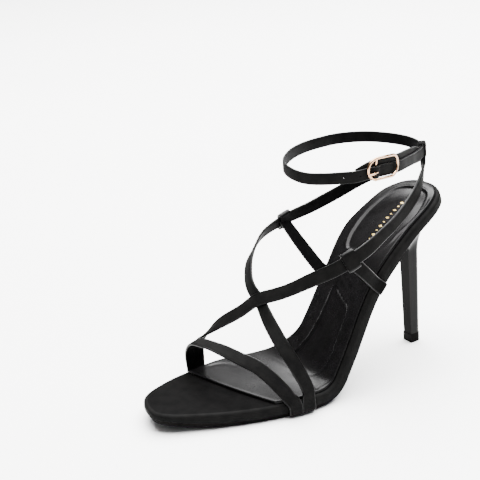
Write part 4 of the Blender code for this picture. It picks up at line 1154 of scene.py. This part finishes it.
def tube(name, path, radius, up, closed=False, taper=None):
    """Round gold wire along a path. up is square to it all the way, and taper scales its radius."""
    ahead = tangents(np.asarray(path, float), closed)
    side = np.cross(ahead, up)
    side /= np.linalg.norm(side, axis=1, keepdims=True)
    top = np.cross(side, ahead)
    taper = np.ones(len(path)) if taper is None else taper
    turns = np.linspace(0, 2 * math.pi, WIRE_CORNERS, endpoint=False)
    points = [p + radius * w * (s * math.cos(a) + t * math.sin(a))
              for p, s, t, w in zip(path, side, top, taper) for a in turns]
    rows, faces = len(path), []
    for i in range(rows if closed else rows - 1):
        faces += ring_quads(i * WIRE_CORNERS, (i + 1) % rows * WIRE_CORNERS, WIRE_CORNERS)
    if not closed:
        faces.append(tuple(range(WIRE_CORNERS))[::-1])
        faces.append(tuple(range(WIRE_CORNERS * (rows - 1), WIRE_CORNERS * rows)))
    return to_object(name, points, faces, [GOLD], None, STRAP_SHARP, WIRE_WELD)


def make_buckle(ring):
    """Rounded wire ring, the bar it pivots on and the prong round that bar."""
    up = ring.frame(0.0)[1]
    outline = []
    for n, (sx, sy) in enumerate(((1, 1), (-1, 1), (-1, -1), (1, -1))):
        for a in np.linspace(0, math.pi / 2, CORNER_STEPS) + n * math.pi / 2:
            outline.append((sx * (END_BAR_AT - BUCKLE_CORNER) + BUCKLE_CORNER * math.cos(a),
                            sy * (SIDE_BAR_AT - BUCKLE_CORNER) + BUCKLE_CORNER * math.sin(a)))
    even = respace(np.array(outline + outline[:1]), RING_STEP)[:-1]
    loop = [ring.place(x, FRAME_OFFSET, y - BUCKLE_RAISE) for x, y in even]
    settle(tube("buckle_rim", loop, BUCKLE_WIRE / 2, up, closed=True), "buckle_frame")
    bar_at, low = -PIVOT_BAR_AHEAD, ANKLE_STRAP_WIDTH / 2 + 2 * FIT_GAP
    midway = 0.5 * (FRAME_OFFSET + PIVOT_BAR_OFFSET)
    profile = np.array((
        (-BUCKLE_RAISE - SIDE_BAR_AT, FRAME_OFFSET),
        (-low - PIVOT_BAR_TURN, midway), (-low, PIVOT_BAR_OFFSET),
        (0.0, PIVOT_BAR_OFFSET), (low, PIVOT_BAR_OFFSET), (low + PIVOT_BAR_TURN, midway),
        (-BUCKLE_RAISE + SIDE_BAR_AT, FRAME_OFFSET)))
    bar = [ring.place(bar_at, o, y) for y, o in spline(profile)]
    settle(tube("buckle_bar", bar, PIVOT_BAR_WIRE / 2, up), "buckle_frame")
    rest = FRAME_OFFSET + BUCKLE_WIRE / 2 + FIT_GAP + PRONG_WIRE / 2
    curl = PIVOT_BAR_WIRE / 2 + FIT_GAP + PRONG_WIRE / 2
    guide = [(bar_at + curl * math.cos(a), PIVOT_BAR_OFFSET + curl * math.sin(a)) for a in PRONG_CURL]
    guide += [(bar_at - ahead, rest - below) for ahead, below in PRONG_CLIMB]
    guide += [(-END_BAR_AT, rest), (-END_BAR_AT - PRONG_OVERHANG, rest - PRONG_DROOP)]
    dense = spline(guide, per_span=PRONG_SPAN)
    taper = 1 - PRONG_THINNING * smoothstep((np.linspace(0, 1, len(dense)) - 0.5) / 0.5)
    taper[-PRONG_TIP_ROWS:] *= np.sqrt(1 - np.linspace(0, PRONG_TIP_SHARE, PRONG_TIP_ROWS) ** 2)
    path = [ring.place(a, o) for a, o in dense]
    settle(tube("buckle_tongue", path, PRONG_WIRE / 2, up, taper=taper), "buckle_prong")


RING = AnkleRing()
make_sole()
make_heel()
make_marks()
make_straps(RING)
make_ankle_band(RING)
make_buckle(RING)

for node, material in (("outsole", RUBBER), ("top_lift", LIFT)):
    nodes[node].data.materials.clear()
    nodes[node].data.materials.append(material)
for piece in PIECES:
    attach(piece, "root")


# Floor
def floor_material():
    material, tree, shader = node_material("studio_floor")
    shader.inputs["Roughness"].default_value = 0.7
    shader.inputs["Specular IOR Level"].default_value = 0.2
    tone = ramp(tree, spots(tree, 3.0), [(0.3, (0.89, 0.89, 0.885)), (0.7, (0.91, 0.91, 0.905))])
    tree.links.new(tone, shader.inputs["Base Color"])
    return material


FLOOR_HALF, FLOOR_DROP = 6.0, 0.00005
floor_grid = bmesh.new()
bmesh.ops.create_grid(floor_grid, x_segments=8, y_segments=8, size=FLOOR_HALF)
floor = link("studio_floor", mesh_of(floor_grid, "studio_floor"))
floor.data.materials.append(floor_material())
floor.location = (0, 0, -FLOOR_DROP)

# Camera
AZIMUTH, ELEVATION, ROLL = math.radians(60.224), math.radians(20.586), math.radians(-4.431)
DISTANCE, FOCAL_PX, FRAME_PX, SENSOR_MM = 0.82606, 1200.26, 480, 36.0
TARGET = np.array([-0.11494, 0.13301, 0.050])
back = np.array([math.sin(AZIMUTH) * math.cos(ELEVATION), -math.cos(AZIMUTH) * math.cos(ELEVATION),
                 math.sin(ELEVATION)])
right = np.array([math.cos(AZIMUTH), math.sin(AZIMUTH), 0.0])
up = np.cross(back, right)
c, s = math.cos(ROLL), math.sin(ROLL)
side, top = c * right + s * up, -s * right + c * up
spot = TARGET + back * DISTANCE + OFFSET
camera_data = bpy.data.cameras.new("camera")
camera_data.sensor_width = SENSOR_MM
camera_data.lens = FOCAL_PX * SENSOR_MM / FRAME_PX
camera_data.clip_start = 0.01
camera = link("camera", camera_data)
camera.matrix_world = Matrix(((side[0], top[0], back[0], spot[0]), (side[1], top[1], back[1], spot[1]),
                              (side[2], top[2], back[2], spot[2]), (0, 0, 0, 1)))
bpy.context.scene.camera = camera


# Light
def area(name, place, aim, size, power):
    """Rectangular lamp that faces a point."""
    data = bpy.data.lights.new(name, "AREA")
    data.shape = "RECTANGLE"
    data.size, data.size_y = size
    data.energy = power
    light = link(name, data)
    light.location = place
    light.rotation_euler = (Vector(aim) - Vector(place)).to_track_quat("-Z", "Y").to_euler()


LAMPS = (("overhead", (-0.3, 0.5, 1.9), (0.0, 0.0, 0.0), (2.6, 2.6), 560.0),
         ("rear_left", (-1.9, 1.3, 1.0), (0.0, 0.0, 0.05), (2.0, 1.2), 5.0))
SKY_GLOW, SKY_STRENGTH = [(0.25, 0.09), (0.72, 0.50)], 1.0
for lamp in LAMPS:
    area(*lamp)
world = bpy.data.worlds.new("studio")
bpy.context.scene.world = world
world.use_nodes = True
sky = world.node_tree
direction = sky.nodes.new("ShaderNodeTexCoord")
split = sky.nodes.new("ShaderNodeSeparateXYZ")
sky.links.new(direction.outputs["Generated"], split.inputs["Vector"])
glow = ramp(sky, split.outputs["Z"], SKY_GLOW)
sky.links.new(glow, sky.nodes["Background"].inputs["Color"])
sky.nodes["Background"].inputs["Strength"].default_value = SKY_STRENGTH
